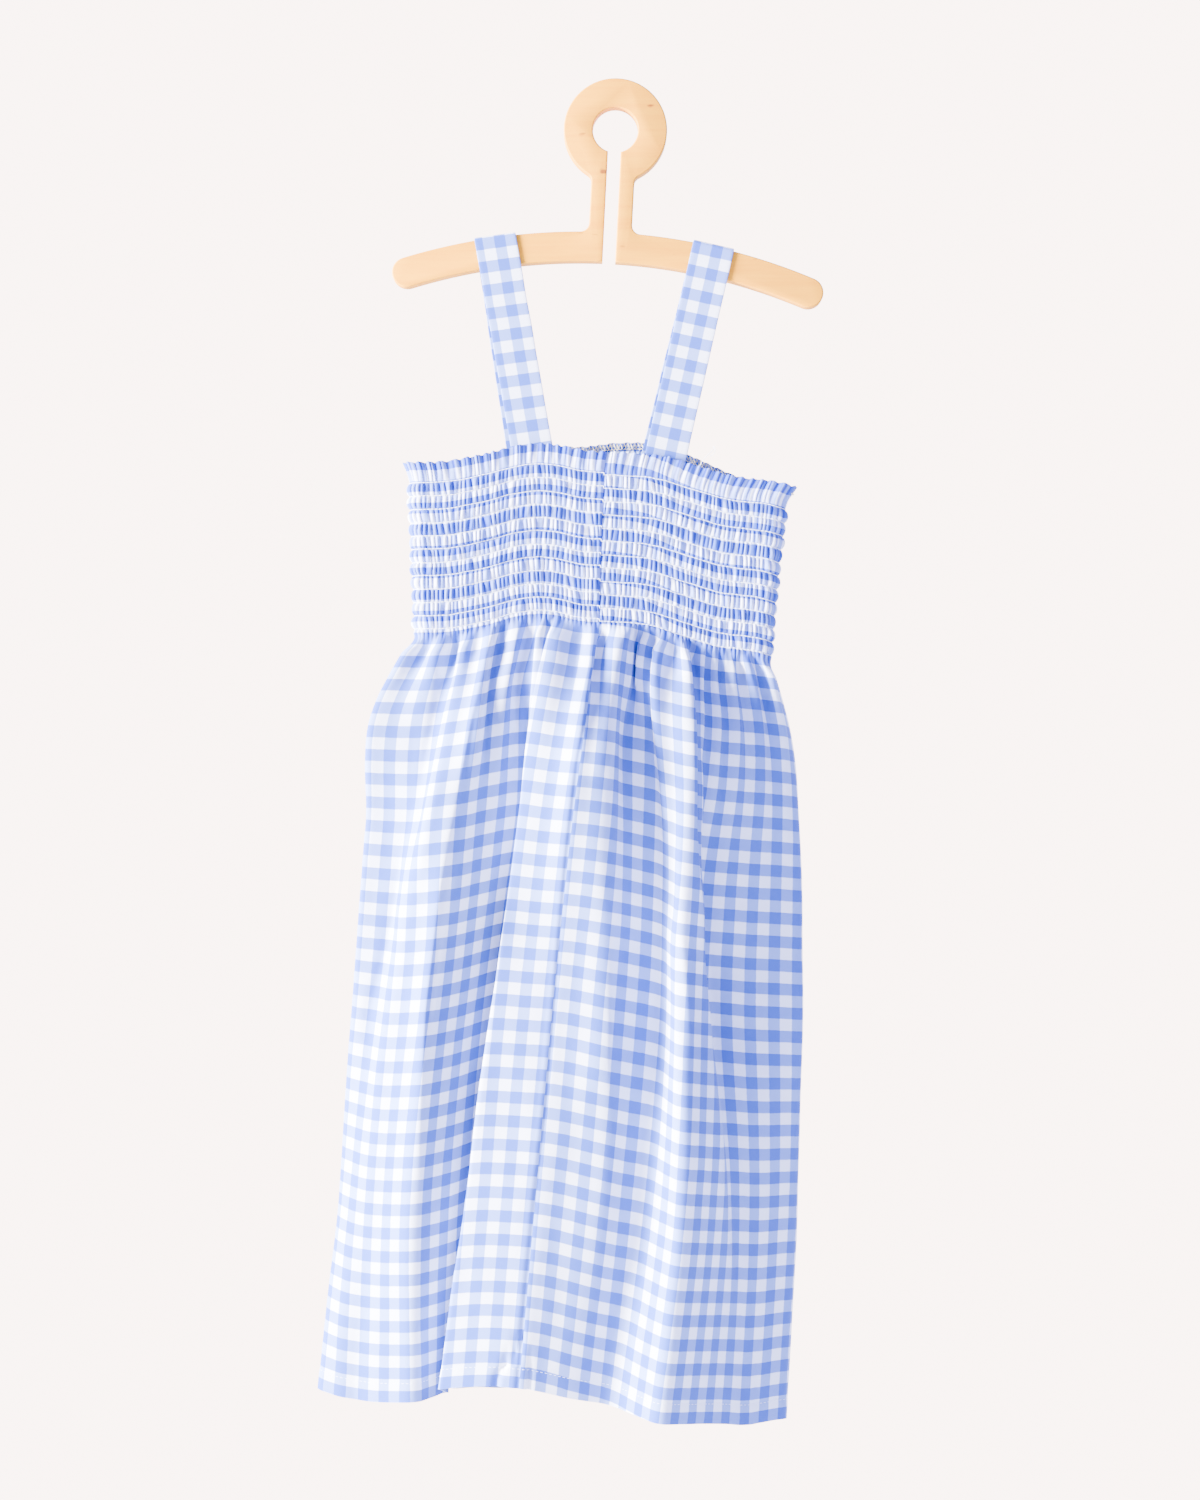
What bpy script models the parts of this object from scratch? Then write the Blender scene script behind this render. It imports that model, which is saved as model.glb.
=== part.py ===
"""A child's shirred gingham sundress that hangs by its straps on a flat wooden hanger.

The dress is a tube of cloth, flat against a wall behind it. Its top is drawn in by rows of elastic thread,
its skirt falls from there in gathers that open into a few large folds, and two flat straps go over the arms
of the hanger. The origin is the top of the hanger's hole, where a nail carries it. +X is to the right as one
looks at the front, +Y goes to the wall and +Z up. Sizes in the tables are in millimetres.
"""

import math
from collections import namedtuple

import bmesh
import bpy
import numpy as np
from mathutils import Matrix, Vector

MM = 0.001
SEAT = 0.3  # gap left between two pieces that touch
SEAM_SAG = 0.15  # more where two curved edges meet, as their straight stretches differ

# Hanger: a ring with a slot below it, a neck and two curved arms
HANGER_THICKNESS = 12.0
HANGER_CHAMFER = 1.0
HANGER_TILT = math.radians(2.9)
RING_RADIUS = 35.5
HOLE_RADIUS = 15.5
SLOT_WIDTH = 8.8
NECK_WIDTH = 29.6
NECK_FILLET = 6.0
ARM_HEIGHT = 20.5
ARM_CURVE_RADIUS = 405.0
ARM_DROP = 96.0
ARM_TIP_REACH = 138.0
RING_STEPS = 16
HOLE_STEPS = 10
FILLET_STEPS = 4
ARM_STEPS = 8
TIP_STEPS = 8

# Cloth
CLOTH_WALL = 1.2
STRAP_WIDTH = 28.5
STRAP_WALL = 1.3
WALL_PLANE = 11.0  # the plane that the back of the dress lies against

# Bodice: a frill, then rows of shirring
FRILL = 14.0
SHIRRING_ROWS = 12
ROW_PITCH = 9.1
BODICE_TAIL = 2.4
BODICE_LENGTH = FRILL + (SHIRRING_ROWS - 1) * ROW_PITCH + BODICE_TAIL
BODICE_HALF_DEPTH = 8.4
SHIRRING_GATHERS = 116
PUFF_RISE = 1.7
PUFF_VALLEY = 0.5
FRILL_RISE = 2.6
TAIL_RISE = 0.6
LINING_COLUMNS = 58
LINING_SHARES = (1.0, 0.66, 0.33, 0.0)  # levels of the inside's rings, from the lower edge to the top

# Skirt: one tube of cloth, gathered into the last row of shirring
CLOTH_ROUND = 858.0  # flat measure of the cloth all the way round
SKIRT_GATHERS = 34
COLUMNS_PER_GATHER = 4
GATHER_DRIFT = ((3, 1.1, 0.4), (5, 0.8, 2.1), (8, 0.5, 4.0))  # turns round the skirt, radians, phase
SKIRT_RINGS = (0.0, 0.028, 0.06, 0.11, 0.19, 0.30, 0.46, 0.64, 0.82, 1.0)
SIDE_GAP = 0.4  # cloth left out at each side, where the front's wall ends and the back's begins
END_COLUMN = 2.0  # least cloth between that end and the wall's next column
RING_SAMPLES = 2400

# Outline of the bodice: distance down from its top edge, and its left and right sides there
Side = namedtuple("Side", "down left right")
BODICE_SIDES = (
    Side(0.0, -145.0, 122.0),
    Side(8.0, -142.5, 117.0),
    Side(25.0, -141.5, 114.5),
    Side(60.0, -140.0, 110.0),
    Side(90.0, -139.0, 107.5),
    Side(117.0, -138.0, 105.5),
)

# Height of the front's top edge, highest where the straps pull it up
Edge = namedtuple("Edge", "across height")
TOP_EDGE = (
    Edge(-146.0, -244.0),
    Edge(-122.0, -243.6),
    Edge(-94.0, -239.0),
    Edge(-66.0, -232.0),
    Edge(-53.0, -230.2),
    Edge(-40.0, -232.0),
    Edge(-22.0, -236.0),
    Edge(4.0, -237.4),
    Edge(30.0, -239.5),
    Edge(55.0, -246.3),
    Edge(79.0, -253.2),
    Edge(116.0, -258.5),
    Edge(123.0, -260.5),
)

# How far the back's top edge stands above the front's
Lift = namedtuple("Lift", "across rise")
BACK_LIFT = (
    Lift(-146.0, 0.0),
    Lift(-90.0, 1.0),
    Lift(-34.0, 2.0),
    Lift(-10.0, 7.0),
    Lift(18.0, 9.5),
    Lift(48.0, 8.0),
    Lift(72.0, 4.5),
    Lift(96.0, 0.5),
    Lift(123.0, 0.0),
)

# Fold lines of the skirt's front. lean says which way the cloth goes right of the line: -1 towards the viewer
# and +1 to the wall. soft is the half width of the bend. flat is the line's place on the flat cloth and across
# its place on the hanging skirt, each at the levels of SKIRT_LEVELS. hem is its height at the hem.
SKIRT_LEVELS = (0.0, 0.094, 0.245, 0.40, 0.755, 1.0)
Fold = namedtuple("Fold", "name lean soft hem flat across")
FRONT_FOLDS = (
    Fold("left_side", -1, 6, -878, (0, 0, 0, 0, 0, 0), (-139, -163, -169, -176, -190, -203)),
    Fold("crease_in", -1, 8, -882, (36, 38, 31, 22, 18, 17), (-117, -127, -140, -155, -179, -188)),
    Fold("crease_out", -1, 9, -883, (55, 56, 55, 39, 26, 23), (-106, -114, -129, -146, -173, -181)),
    Fold("left_crest", 1, 9, -882, (81, 80, 79, 70, 71, 71), (-89, -96, -108, -124, -136, -137)),
    Fold("left_hollow", -1, 4, -880, (128, 132, 131, 130, 118, 103), (-56, -61, -66, -77, -103, -120)),
    Fold("lap_edge", -1, 3, -871, (155, 152, 157, 157, 148, 140), (-44, -55, -65, -76, -102, -120)),
    Fold("seam", 1, 9, -868, (196, 196, 196, 196, 196, 196), (-12, -18, -29, -38, -55, -66)),
    Fold("dip_top", 1, 9, -877, (219, 222, 225, 231, 241, 237), (2, 0, -3, -5, -11, -33)),
    Fold("dip_floor", -1, 10, -881, (242, 248, 253, 255, 259, 256), (16, 13, 15, 15, 4, -17)),
    Fold("dip_rise", -1, 9, -884, (261, 264, 268, 271, 274, 273), (25, 23, 28, 30, 19, -3)),
    Fold("right_crest", 1, 9, -889, (290, 292, 294, 300, 310, 313), (41, 40, 42, 43, 42, 28)),
    Fold("drop_edge", 1, 4, -897, (307, 308, 310, 323, 361, 375), (49, 53, 54, 59, 75, 74)),
    Fold("drop_foot", 1, 6, -899, (336, 331, 345, 357, 372, 387), (61, 58, 56, 60, 80, 84)),
    Fold("right_side", 1, 6, -899, (424, 424, 424, 424, 424, 424), (104, 118, 125, 126, 122, 114)),
)
RIGHT_TURN = (15, 15, 17, 23, 16, 13)  # cloth that goes round the right side, at the same levels
LEFT_TURN = (15, 16, 18, 19, 18, 18)  # the same round the left side
SIDE_SOFT = 6

# Folds of the back, from its right side to its left: the share of the back's cloth in each
Pleat = namedtuple("Pleat", "share lean soft")
BACK_PLEATS = (
    Pleat(0.042, -1, 6),
    Pleat(0.040, 1, 6),
    Pleat(0.070, -1, 8),
    Pleat(0.075, 1, 8),
    Pleat(0.045, -1, 6),
    Pleat(0.050, 1, 7),
    Pleat(0.095, -1, 10),
    Pleat(0.090, 1, 10),
    Pleat(0.050, -1, 7),
    Pleat(0.045, 1, 6),
    Pleat(0.060, -1, 8),
    Pleat(0.065, 1, 8),
    Pleat(0.038, -1, 6),
    Pleat(0.040, 1, 6),
    Pleat(0.080, -1, 9),
    Pleat(0.075, 1, 9),
    Pleat(0.040, -1, 6),
)
BACK_HEM_RIPPLE = 1.5

# Part of the fullness that the small gathers take, by level; the large folds take the rest
GATHER_SHARE = (1.0, 0.62, 0.22, 0.06, 0.0, 0.0)
# How much the waist still holds the tube flat, by level, and the depth that the folds keep of their full one
WAIST_HOLD = (1.0, 0.30, 0.04, 0.0, 0.0, 0.0)
FOLD_DEPTH = 0.86
BROAD_WINDOW = 40.0  # cloth over which the waist evens out the folds

# Limits of the solver that finds how far each stretch of cloth leans and swings, in radians
MAX_SWING = 1.75
MAX_LEAN = 1.95
SIDE_SWING = 0.5
LEAST_SHARE = 0.05  # of a stretch's cloth that shows across
LEAST_GATHERED = 0.4
LEAST_SINE = 0.35
SOLVER_GAIN = 0.7
SOLVER_ROUNDS = 24

# Straps: where each crosses the hanger's arm, how far down it is sewn, and how far its legs drift sideways
Strap = namedtuple("Strap", "name across length front_drift back_drift")
STRAPS = (
    Strap("strap_left", -76.8, 162.0, 5.5, 1.5),
    Strap("strap_right", 69.5, 166.0, 0.0, -3.0),
)
STRAP_BEND = 1.0  # inside radius of the bend at the arm's top edges
STRAP_BEND_STEPS = 4
STRAP_FREE = 0.8  # share of its length at which a strap has come to the bodice's depth
STRAP_AGAINST = 1.2 * ARM_HEIGHT  # how far down it lies against the arm

# Colours: red, green, blue, roughness
PAINTS = {
    "wood": (0.93, 0.64, 0.39, 0.5),
    "cloth": (0.62, 0.71, 0.92, 0.85),
    "shirring": (0.50, 0.63, 0.90, 0.85),
    "strap": (0.55, 0.66, 0.88, 0.85),
}


def clear_scene():
    for old in list(bpy.data.objects):
        bpy.data.objects.remove(old, do_unlink=True)


def paint(name):
    red, green, blue, roughness = PAINTS[name]
    material = bpy.data.materials.new(name)
    material.use_nodes = True
    shader = material.node_tree.nodes["Principled BSDF"]
    shader.inputs["Base Color"].default_value = (red, green, blue, 1.0)
    shader.inputs["Roughness"].default_value = roughness
    shader.inputs["Metallic"].default_value = 0.0
    return material


def add_object(name, points, faces, material, sharp_degrees):
    """Makes one closed object from points in millimetres, with its faces turned outward."""
    mesh = bpy.data.meshes.new(name)
    mesh.from_pydata([tuple(c * MM for c in p) for p in points], [], faces)
    mesh.materials.append(material)
    work = bmesh.new()
    work.from_mesh(mesh)
    bmesh.ops.recalc_face_normals(work, faces=work.faces)
    bmesh.ops.triangulate(work, faces=[f for f in work.faces if len(f.verts) > 4])
    work.to_mesh(mesh)
    work.free()
    mesh.shade_smooth()
    mesh.set_sharp_from_angle(angle=math.radians(sharp_degrees))
    bpy.context.collection.objects.link(bpy.data.objects.new(name, mesh))


def eased(places, values, at):
    """A smooth curve through the values, cubic between its places."""
    places = np.asarray(places, float)
    values = np.asarray(values, float)
    slopes = np.gradient(values, places)
    index = np.clip(np.searchsorted(places, at, side="right") - 1, 0, len(places) - 2)
    width = places[index + 1] - places[index]
    t = np.clip((at - places[index]) / width, 0.0, 1.0)
    start = (1 + 2 * t) * (1 - t) ** 2 * values[index] + t * (1 - t) ** 2 * width * slopes[index]
    end = t * t * (3 - 2 * t) * values[index + 1] + t * t * (t - 1) * width * slopes[index + 1]
    return start + end


def smooth_step(t):
    t = np.clip(0.5 * (t + 1.0), 0.0, 1.0)
    return t * t * (3.0 - 2.0 * t)


# Hanger

def arc(centre, radius, start, end, steps):
    """Points on a round stretch, both ends included; angles in radians."""
    angles = np.linspace(start, end, steps + 1)
    return [(centre[0] + radius * math.cos(a), centre[1] + radius * math.sin(a)) for a in angles]


def arm_centre():
    return (0.0, -ARM_DROP - ARM_CURVE_RADIUS)


def hanger_half():
    """The right half of the outline, from the top of the ring round the arm to the top of the hole."""
    ring = (0.0, -HOLE_RADIUS)
    arm = arm_centre()
    neck = NECK_WIDTH / 2
    top_radius = ARM_CURVE_RADIUS + ARM_HEIGHT / 2
    low_radius = ARM_CURVE_RADIUS - ARM_HEIGHT / 2
    fillet_x = neck + NECK_FILLET

    upper = (fillet_x, ring[1] - math.sqrt((RING_RADIUS + NECK_FILLET) ** 2 - fillet_x ** 2))
    to_ring = math.atan2(ring[1] - upper[1], ring[0] - upper[0])
    lower = (fillet_x, arm[1] + math.sqrt((top_radius + NECK_FILLET) ** 2 - fillet_x ** 2))
    to_arm = math.atan2(arm[1] - lower[1], arm[0] - lower[0])

    tip_angle = math.pi / 2 - math.asin(ARM_TIP_REACH / ARM_CURVE_RADIUS)
    tip = (ARM_CURVE_RADIUS * math.cos(tip_angle), arm[1] + ARM_CURVE_RADIUS * math.sin(tip_angle))
    slot = SLOT_WIDTH / 2
    slot_angle = math.acos(slot / low_radius)
    mouth = -math.acos(slot / HOLE_RADIUS)

    points = arc(ring, RING_RADIUS, math.pi / 2, to_ring - math.pi, RING_STEPS)
    points += arc(upper, NECK_FILLET, to_ring, math.pi, FILLET_STEPS)[1:]
    points += arc(lower, NECK_FILLET, math.pi, to_arm + 2 * math.pi, FILLET_STEPS)
    points += arc(arm, top_radius, to_arm + math.pi, tip_angle, ARM_STEPS)[1:]
    points += arc(tip, ARM_HEIGHT / 2, tip_angle, tip_angle - math.pi, TIP_STEPS)[1:]
    points += arc(arm, low_radius, tip_angle, slot_angle, ARM_STEPS)[1:]
    points += arc(ring, HOLE_RADIUS, mouth, math.pi / 2, HOLE_STEPS)
    return points


def mitred(outline, distance):
    """The closed outline moved sideways: to its left where distance is above zero."""
    here = np.asarray(outline, float)
    ahead = np.roll(here, -1, axis=0) - here
    ahead /= np.linalg.norm(ahead, axis=1)[:, None]
    behind = np.roll(ahead, 1, axis=0)
    left = np.column_stack((-ahead[:, 1] - behind[:, 1], ahead[:, 0] + behind[:, 0]))
    left /= np.linalg.norm(left, axis=1)[:, None]
    spread = np.maximum(left[:, 0] * -ahead[:, 1] + left[:, 1] * ahead[:, 0], 0.5)
    return here + left * (distance / spread)[:, None]


def make_hanger(material):
    half = hanger_half()
    outline = half + [(-x, z) for x, z in reversed(half)]
    inset = mitred(outline, -HANGER_CHAMFER)
    front = HANGER_THICKNESS / 2
    loops = (
        (inset, -front),
        (outline, -front + HANGER_CHAMFER),
        (outline, front - HANGER_CHAMFER),
        (inset, front),
    )
    tilt = Matrix.Rotation(HANGER_TILT, 3, "Y")
    points = [tuple(tilt @ Vector((x, depth, z))) for loop, depth in loops for x, z in loop]
    count = len(outline)
    faces = []
    for band in range(len(loops) - 1):
        for i in range(count):
            j = (i + 1) % count
            here, there = band * count, (band + 1) * count
            faces.append((here + i, here + j, there + j, there + i))
    faces.append(tuple(reversed(range(count))))
    faces.append(tuple(range((len(loops) - 1) * count, len(loops) * count)))
    add_object("hanger", points, faces, material, 35)


# Straps

def strap_path(length, front_drift, back_drift):
    """Centre line of a strap as (sideways, depth, height) from the top of the arm, front leg first."""
    seat = SEAT + STRAP_WALL / 2
    out = HANGER_THICKNESS / 2 + seat
    sewn = BODICE_HALF_DEPTH - CLOTH_WALL - seat
    bend = STRAP_BEND + seat
    against = STRAP_AGAINST / length
    points = [
        (front_drift, -sewn, -length),
        (front_drift * STRAP_FREE, -sewn, -length * STRAP_FREE),
        (front_drift * against, -out, -STRAP_AGAINST),
    ]
    for step in range(STRAP_BEND_STEPS + 1):
        angle = math.pi - step * math.pi / 2 / STRAP_BEND_STEPS
        points.append((0.0, -out + bend + bend * math.cos(angle), seat - bend + bend * math.sin(angle)))
    for step in range(STRAP_BEND_STEPS + 1):
        angle = math.pi / 2 - step * math.pi / 2 / STRAP_BEND_STEPS
        points.append((0.0, out - bend + bend * math.cos(angle), seat - bend + bend * math.sin(angle)))
    points.append((back_drift * against, out, -STRAP_AGAINST))
    points.append((back_drift * STRAP_FREE, sewn, -length * STRAP_FREE))
    points.append((back_drift, sewn, -length))
    return points


def make_strap(strap, material):
    """A flat band of folded cloth along its path, square to the hanger's arm where it crosses."""
    path = [Vector(p) for p in strap_path(strap.length, strap.front_drift, strap.back_drift)]
    lean = math.asin(strap.across / ARM_CURVE_RADIUS)
    arm_top = ARM_CURVE_RADIUS + ARM_HEIGHT / 2
    centre = arm_centre()
    crossing = Vector((arm_top * math.sin(lean), 0.0, centre[1] + arm_top * math.cos(lean)))
    turn = Matrix.Rotation(HANGER_TILT, 3, "Y")
    square = Matrix.Rotation(lean, 3, "Y")
    points = []
    for i, place in enumerate(path):
        before = path[max(i - 1, 0)]
        after = path[min(i + 1, len(path) - 1)]
        along = (after - before).normalized()
        out = Vector((0.0, along.z, -along.y)).normalized()
        for side, face in ((-1, 1), (1, 1), (1, -1), (-1, -1)):
            corner = place + Vector((side * STRAP_WIDTH / 2, 0.0, 0.0)) - out * face * STRAP_WALL / 2
            points.append(tuple(turn @ (crossing + square @ corner)))
    faces = [(0, 1, 2, 3)]
    for i in range(len(path) - 1):
        for k in range(4):
            n = (k + 1) % 4
            faces.append((4 * i + k, 4 * (i + 1) + k, 4 * (i + 1) + n, 4 * i + n))
    last = 4 * (len(path) - 1)
    faces.append((last + 3, last + 2, last + 1, last))
    add_object(strap.name, points, faces, material, 40)


# Bodice

def column(rows, name):
    return [getattr(row, name) for row in rows]


def bodice_side(down, name):
    return float(eased(column(BODICE_SIDES, "down"), column(BODICE_SIDES, name), down))


def top_edge(share, is_back):
    """Height of the top edge at a share of the way from the left side to the right."""
    left, right = TOP_EDGE[0].across, TOP_EDGE[-1].across
    across = left + np.clip(share, 0.0, 1.0) * (right - left)
    height = eased(column(TOP_EDGE, "across"), column(TOP_EDGE, "height"), across)
    lift = eased(column(BACK_LIFT, "across"), column(BACK_LIFT, "rise"), across)
    return height + np.where(is_back, lift, 0.0)


def bodice_loop(down, count, outward):
    """Points round the bodice at one level: a flat loop with round sides, each point moved outward."""
    left, right = bodice_side(down, "left"), bodice_side(down, "right")
    radius = BODICE_HALF_DEPTH
    straight = right - left - 2 * radius
    bend = math.pi * radius
    total = 2 * (straight + bend)
    run = np.arange(count) / count * total - bend / 2
    across = np.empty(count)
    depth = np.empty(count)
    normal = np.empty((count, 2))
    for i, s in enumerate(run):
        if s < bend / 2:
            angle = math.pi + s / radius
            across[i], depth[i] = left + radius + radius * math.cos(angle), radius * math.sin(angle)
            normal[i] = (math.cos(angle), math.sin(angle))
        elif s < bend / 2 + straight:
            across[i], depth[i] = left + radius + s - bend / 2, -radius
            normal[i] = (0.0, -1.0)
        elif s < 1.5 * bend + straight:
            angle = -math.pi / 2 + (s - bend / 2 - straight) / radius
            across[i], depth[i] = right - radius + radius * math.cos(angle), radius * math.sin(angle)
            normal[i] = (math.cos(angle), math.sin(angle))
        else:
            across[i], depth[i] = right - radius - (s - 1.5 * bend - straight), radius
            normal[i] = (0.0, 1.0)
    share = (across - left) / (right - left)
    back = np.clip(depth / radius, 0.0, 1.0)
    height = top_edge(share, False) * (1 - back) + top_edge(share, True) * back - down
    place = np.column_stack((across, depth)) + normal * np.asarray(outward)[:, None]
    return np.column_stack((place, height))


def bridge(faces, lower, lower_count, upper, upper_count):
    """Joins two rings of any numbers of points with triangles."""
    i = j = 0
    while i < lower_count or j < upper_count:
        a, b = lower + i % lower_count, upper + j % upper_count
        next_a = (i + 1) / lower_count
        next_b = (j + 1) / upper_count
        if j >= upper_count or (i < lower_count and next_a <= next_b):
            faces.append((a, lower + (i + 1) % lower_count, b))
            i += 1
        else:
            faces.append((a, upper + (j + 1) % upper_count, b))
            j += 1


def make_bodice(material):
    """Outside, puffs of gathered cloth stand between the stitched rows; inside the wall is plain."""
    full = 2 * SHIRRING_GATHERS
    crest = np.tile((1.0, 0.0), SHIRRING_GATHERS)
    rings = []
    rings.append((0.0, full, PUFF_VALLEY + crest * FRILL_RISE))
    rings.append((FRILL / 2, full, PUFF_VALLEY + crest * PUFF_RISE))
    for row in range(SHIRRING_ROWS):
        down = FRILL + row * ROW_PITCH
        rings.append((down, SHIRRING_GATHERS, np.zeros(SHIRRING_GATHERS)))
        if row < SHIRRING_ROWS - 1:
            rings.append((down + ROW_PITCH / 2, full, PUFF_VALLEY + crest * PUFF_RISE))
    rings.append((BODICE_LENGTH, SHIRRING_GATHERS, np.full(SHIRRING_GATHERS, TAIL_RISE)))
    for share in LINING_SHARES:
        rings.append((share * BODICE_LENGTH, LINING_COLUMNS, np.full(LINING_COLUMNS, -CLOTH_WALL)))
    points, faces, starts = [], [], []
    for down, count, outward in rings:
        starts.append((len(points), count))
        points += [tuple(p) for p in bodice_loop(down, count, outward)]
    for (lower, lower_count), (upper, upper_count) in zip(starts, starts[1:] + starts[:1]):
        bridge(faces, lower, lower_count, upper, upper_count)
    add_object("bodice", points, faces, material, 50)


# Skirt

def gather_phase(flat):
    """The phase of the small gathers along the flat cloth: whole turns in all, unevenly spaced."""
    turn = 2 * math.pi * np.asarray(flat, float) / CLOTH_ROUND
    phase = SKIRT_GATHERS * turn
    for turns, swing, offset in GATHER_DRIFT:
        phase = phase + swing * (np.sin(turns * turn + offset) - math.sin(offset))
    return phase


def shrink_curve():
    """Swing of a wave's heading, in radians, against the share of its length that stays across."""
    swings = np.linspace(0.0, 2.0, 81)
    around = np.linspace(0.0, 2 * math.pi, 180, endpoint=False)
    left = np.cos(swings[:, None] * np.sin(around)[None, :]).mean(axis=1)
    return swings, left


def level_nodes(level):
    """Every fold line at one level: place on the flat cloth, place across, heading's base and lean."""
    flat = [float(eased(SKIRT_LEVELS, f.flat, level)) for f in FRONT_FOLDS]
    across = [float(eased(SKIRT_LEVELS, f.across, level)) for f in FRONT_FOLDS]
    soft = [f.soft for f in FRONT_FOLDS]
    hem = [f.hem for f in FRONT_FOLDS]
    lean = [f.lean for f in FRONT_FOLDS]
    base = [0.0] * (len(FRONT_FOLDS) - 1) + [math.pi / 2]
    right_turn = float(eased(SKIRT_LEVELS, RIGHT_TURN, level))
    left_turn = float(eased(SKIRT_LEVELS, LEFT_TURN, level))
    back_start = flat[-1] + right_turn
    back_cloth = CLOTH_ROUND - left_turn - back_start
    start, end = across[-1], across[0]
    done = 0.0
    for pleat in BACK_PLEATS:
        flat.append(back_start + done * back_cloth)
        across.append(start + (end - start) * done)
        hem.append(FRONT_FOLDS[-1].hem + (FRONT_FOLDS[0].hem - FRONT_FOLDS[-1].hem) * done
                   + pleat.lean * BACK_HEM_RIPPLE)
        soft.append(pleat.soft)
        lean.append(pleat.lean)
        base.append(math.pi)
        done += pleat.share
    flat.append(CLOTH_ROUND - left_turn)
    across.append(end)
    hem.append(FRONT_FOLDS[0].hem)
    soft.append(SIDE_SOFT)
    lean.append(1)
    base.append(3 * math.pi / 2)
    return [np.array(values, float) for values in (flat, across, soft, hem, lean, base)]


def stepped(flat, places, values, soft, closing):
    """A value constant between fold lines that turns smoothly at each; closing is its gain in one round."""
    result = np.full(len(flat), values[-1] - closing)
    jumps = np.diff(np.concatenate(([values[-1] - closing], values)))
    for place, jump, width in zip(places, jumps, soft):
        result += jump * smooth_step((flat - place) / width)
    result += (values[0] + closing - values[-1]) * smooth_step((flat - CLOTH_ROUND) / soft[0])
    return result


def around_mean(values):
    """The running mean round a closed ring, over BROAD_WINDOW of its cloth."""
    reach = int(0.5 * BROAD_WINDOW / CLOTH_ROUND * RING_SAMPLES)
    ring = values[:-1]
    padded = np.concatenate((ring[-reach:], ring, ring[:reach + 1]))
    total = np.concatenate(([0.0], np.cumsum(padded)))
    width = 2 * reach + 1
    mean = (total[width:] - total[:-width]) / width
    return mean[:len(values)]


def skirt_ring(level):
    """The skirt's cross-section at one level, at RING_SAMPLES + 1 even places on the flat cloth.

    The cloth neither stretches nor shrinks: its heading turns at each fold line, the small gathers swing it,
    and the leans are solved so that each fold line comes to its place across.
    """
    places, across, soft, _, lean, base = level_nodes(level)
    flat = np.linspace(0.0, CLOTH_ROUND, RING_SAMPLES + 1)
    step = CLOTH_ROUND / RING_SAMPLES
    lengths = np.diff(np.append(places, CLOTH_ROUND))
    spans = np.diff(np.append(across, across[0]))
    is_side = np.isin(base, (math.pi / 2, 3 * math.pi / 2))
    direction = np.where(base == 0.0, 1.0, -1.0)
    ratio = np.clip(np.abs(spans) / lengths, LEAST_SHARE, 1.0)
    gather = float(eased(SKIRT_LEVELS, GATHER_SHARE, level))
    swings, left = shrink_curve()
    swing = np.interp(-np.maximum(ratio, LEAST_GATHERED) ** gather, -left, swings)
    swing = np.where(is_side, SIDE_SWING * gather, swing)
    wave = np.sin(gather_phase(flat))
    angle = np.arccos(ratio ** (1.0 - gather))
    for _ in range(SOLVER_ROUNDS):
        heading = base + np.where(is_side, 0.0, direction * lean * angle)
        turned = stepped(flat, places, heading, soft, 2 * math.pi)
        turned += stepped(flat, places, swing, soft, 0.0) * wave
        middle = 0.5 * (turned[1:] + turned[:-1])
        x = across[0] + np.concatenate(([0.0], np.cumsum(np.cos(middle)))) * step
        found = np.interp(np.append(places, CLOTH_ROUND), flat, x)
        excess = SOLVER_GAIN * (np.diff(found) - spans) * direction / lengths
        angle = np.clip(angle + (1 - gather) * excess / np.maximum(np.sin(angle), LEAST_SINE), 0.0, MAX_LEAN)
        swing = np.where(is_side, swing, np.clip(swing + gather * excess, 0.0, MAX_SWING))
    y = np.concatenate(([0.0], np.cumsum(np.sin(middle)))) * step
    missing = np.append(across, across[0]) - found
    x += np.interp(flat, np.append(places, CLOTH_ROUND), missing)
    turn_start = places[len(FRONT_FOLDS)]
    y -= y[-1] * np.clip((flat - turn_start) / (CLOTH_ROUND - turn_start), 0.0, 1.0)
    y *= FOLD_DEPTH
    to_back = smooth_step((flat - turn_start + RIGHT_TURN[0] / 2) / RIGHT_TURN[0])
    to_front = smooth_step((flat - CLOTH_ROUND + LEFT_TURN[0] / 2) / LEFT_TURN[0])
    flat_tube = BODICE_HALF_DEPTH * (2 * (to_back - to_front) - 1)
    hold = float(eased(SKIRT_LEVELS, WAIST_HOLD, level))
    y -= hold * around_mean(y - flat_tube)
    y += WALL_PLANE - y.max()
    return x, y


def skirt_heights(level, flat, x_top):
    """Heights of a ring's points: an even share of the way from the bodice's lower edge to the hem."""
    left, right = bodice_side(BODICE_LENGTH, "left"), bodice_side(BODICE_LENGTH, "right")
    share = (x_top - left) / (right - left)
    front_end = FRONT_FOLDS[-1].flat[0]
    back = smooth_step((flat - front_end - RIGHT_TURN[0] / 2) / RIGHT_TURN[0])
    edge = top_edge(share, False) * (1 - back) + top_edge(share, True) * back
    top = edge - BODICE_LENGTH - SEAT - SEAM_SAG
    places, _, _, hem, _, _ = level_nodes(1.0)
    hem_places = np.concatenate((places, [CLOTH_ROUND]))
    hem_height = eased(hem_places, np.append(hem, hem[0]), flat)
    return top + (hem_height - top) * level


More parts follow.
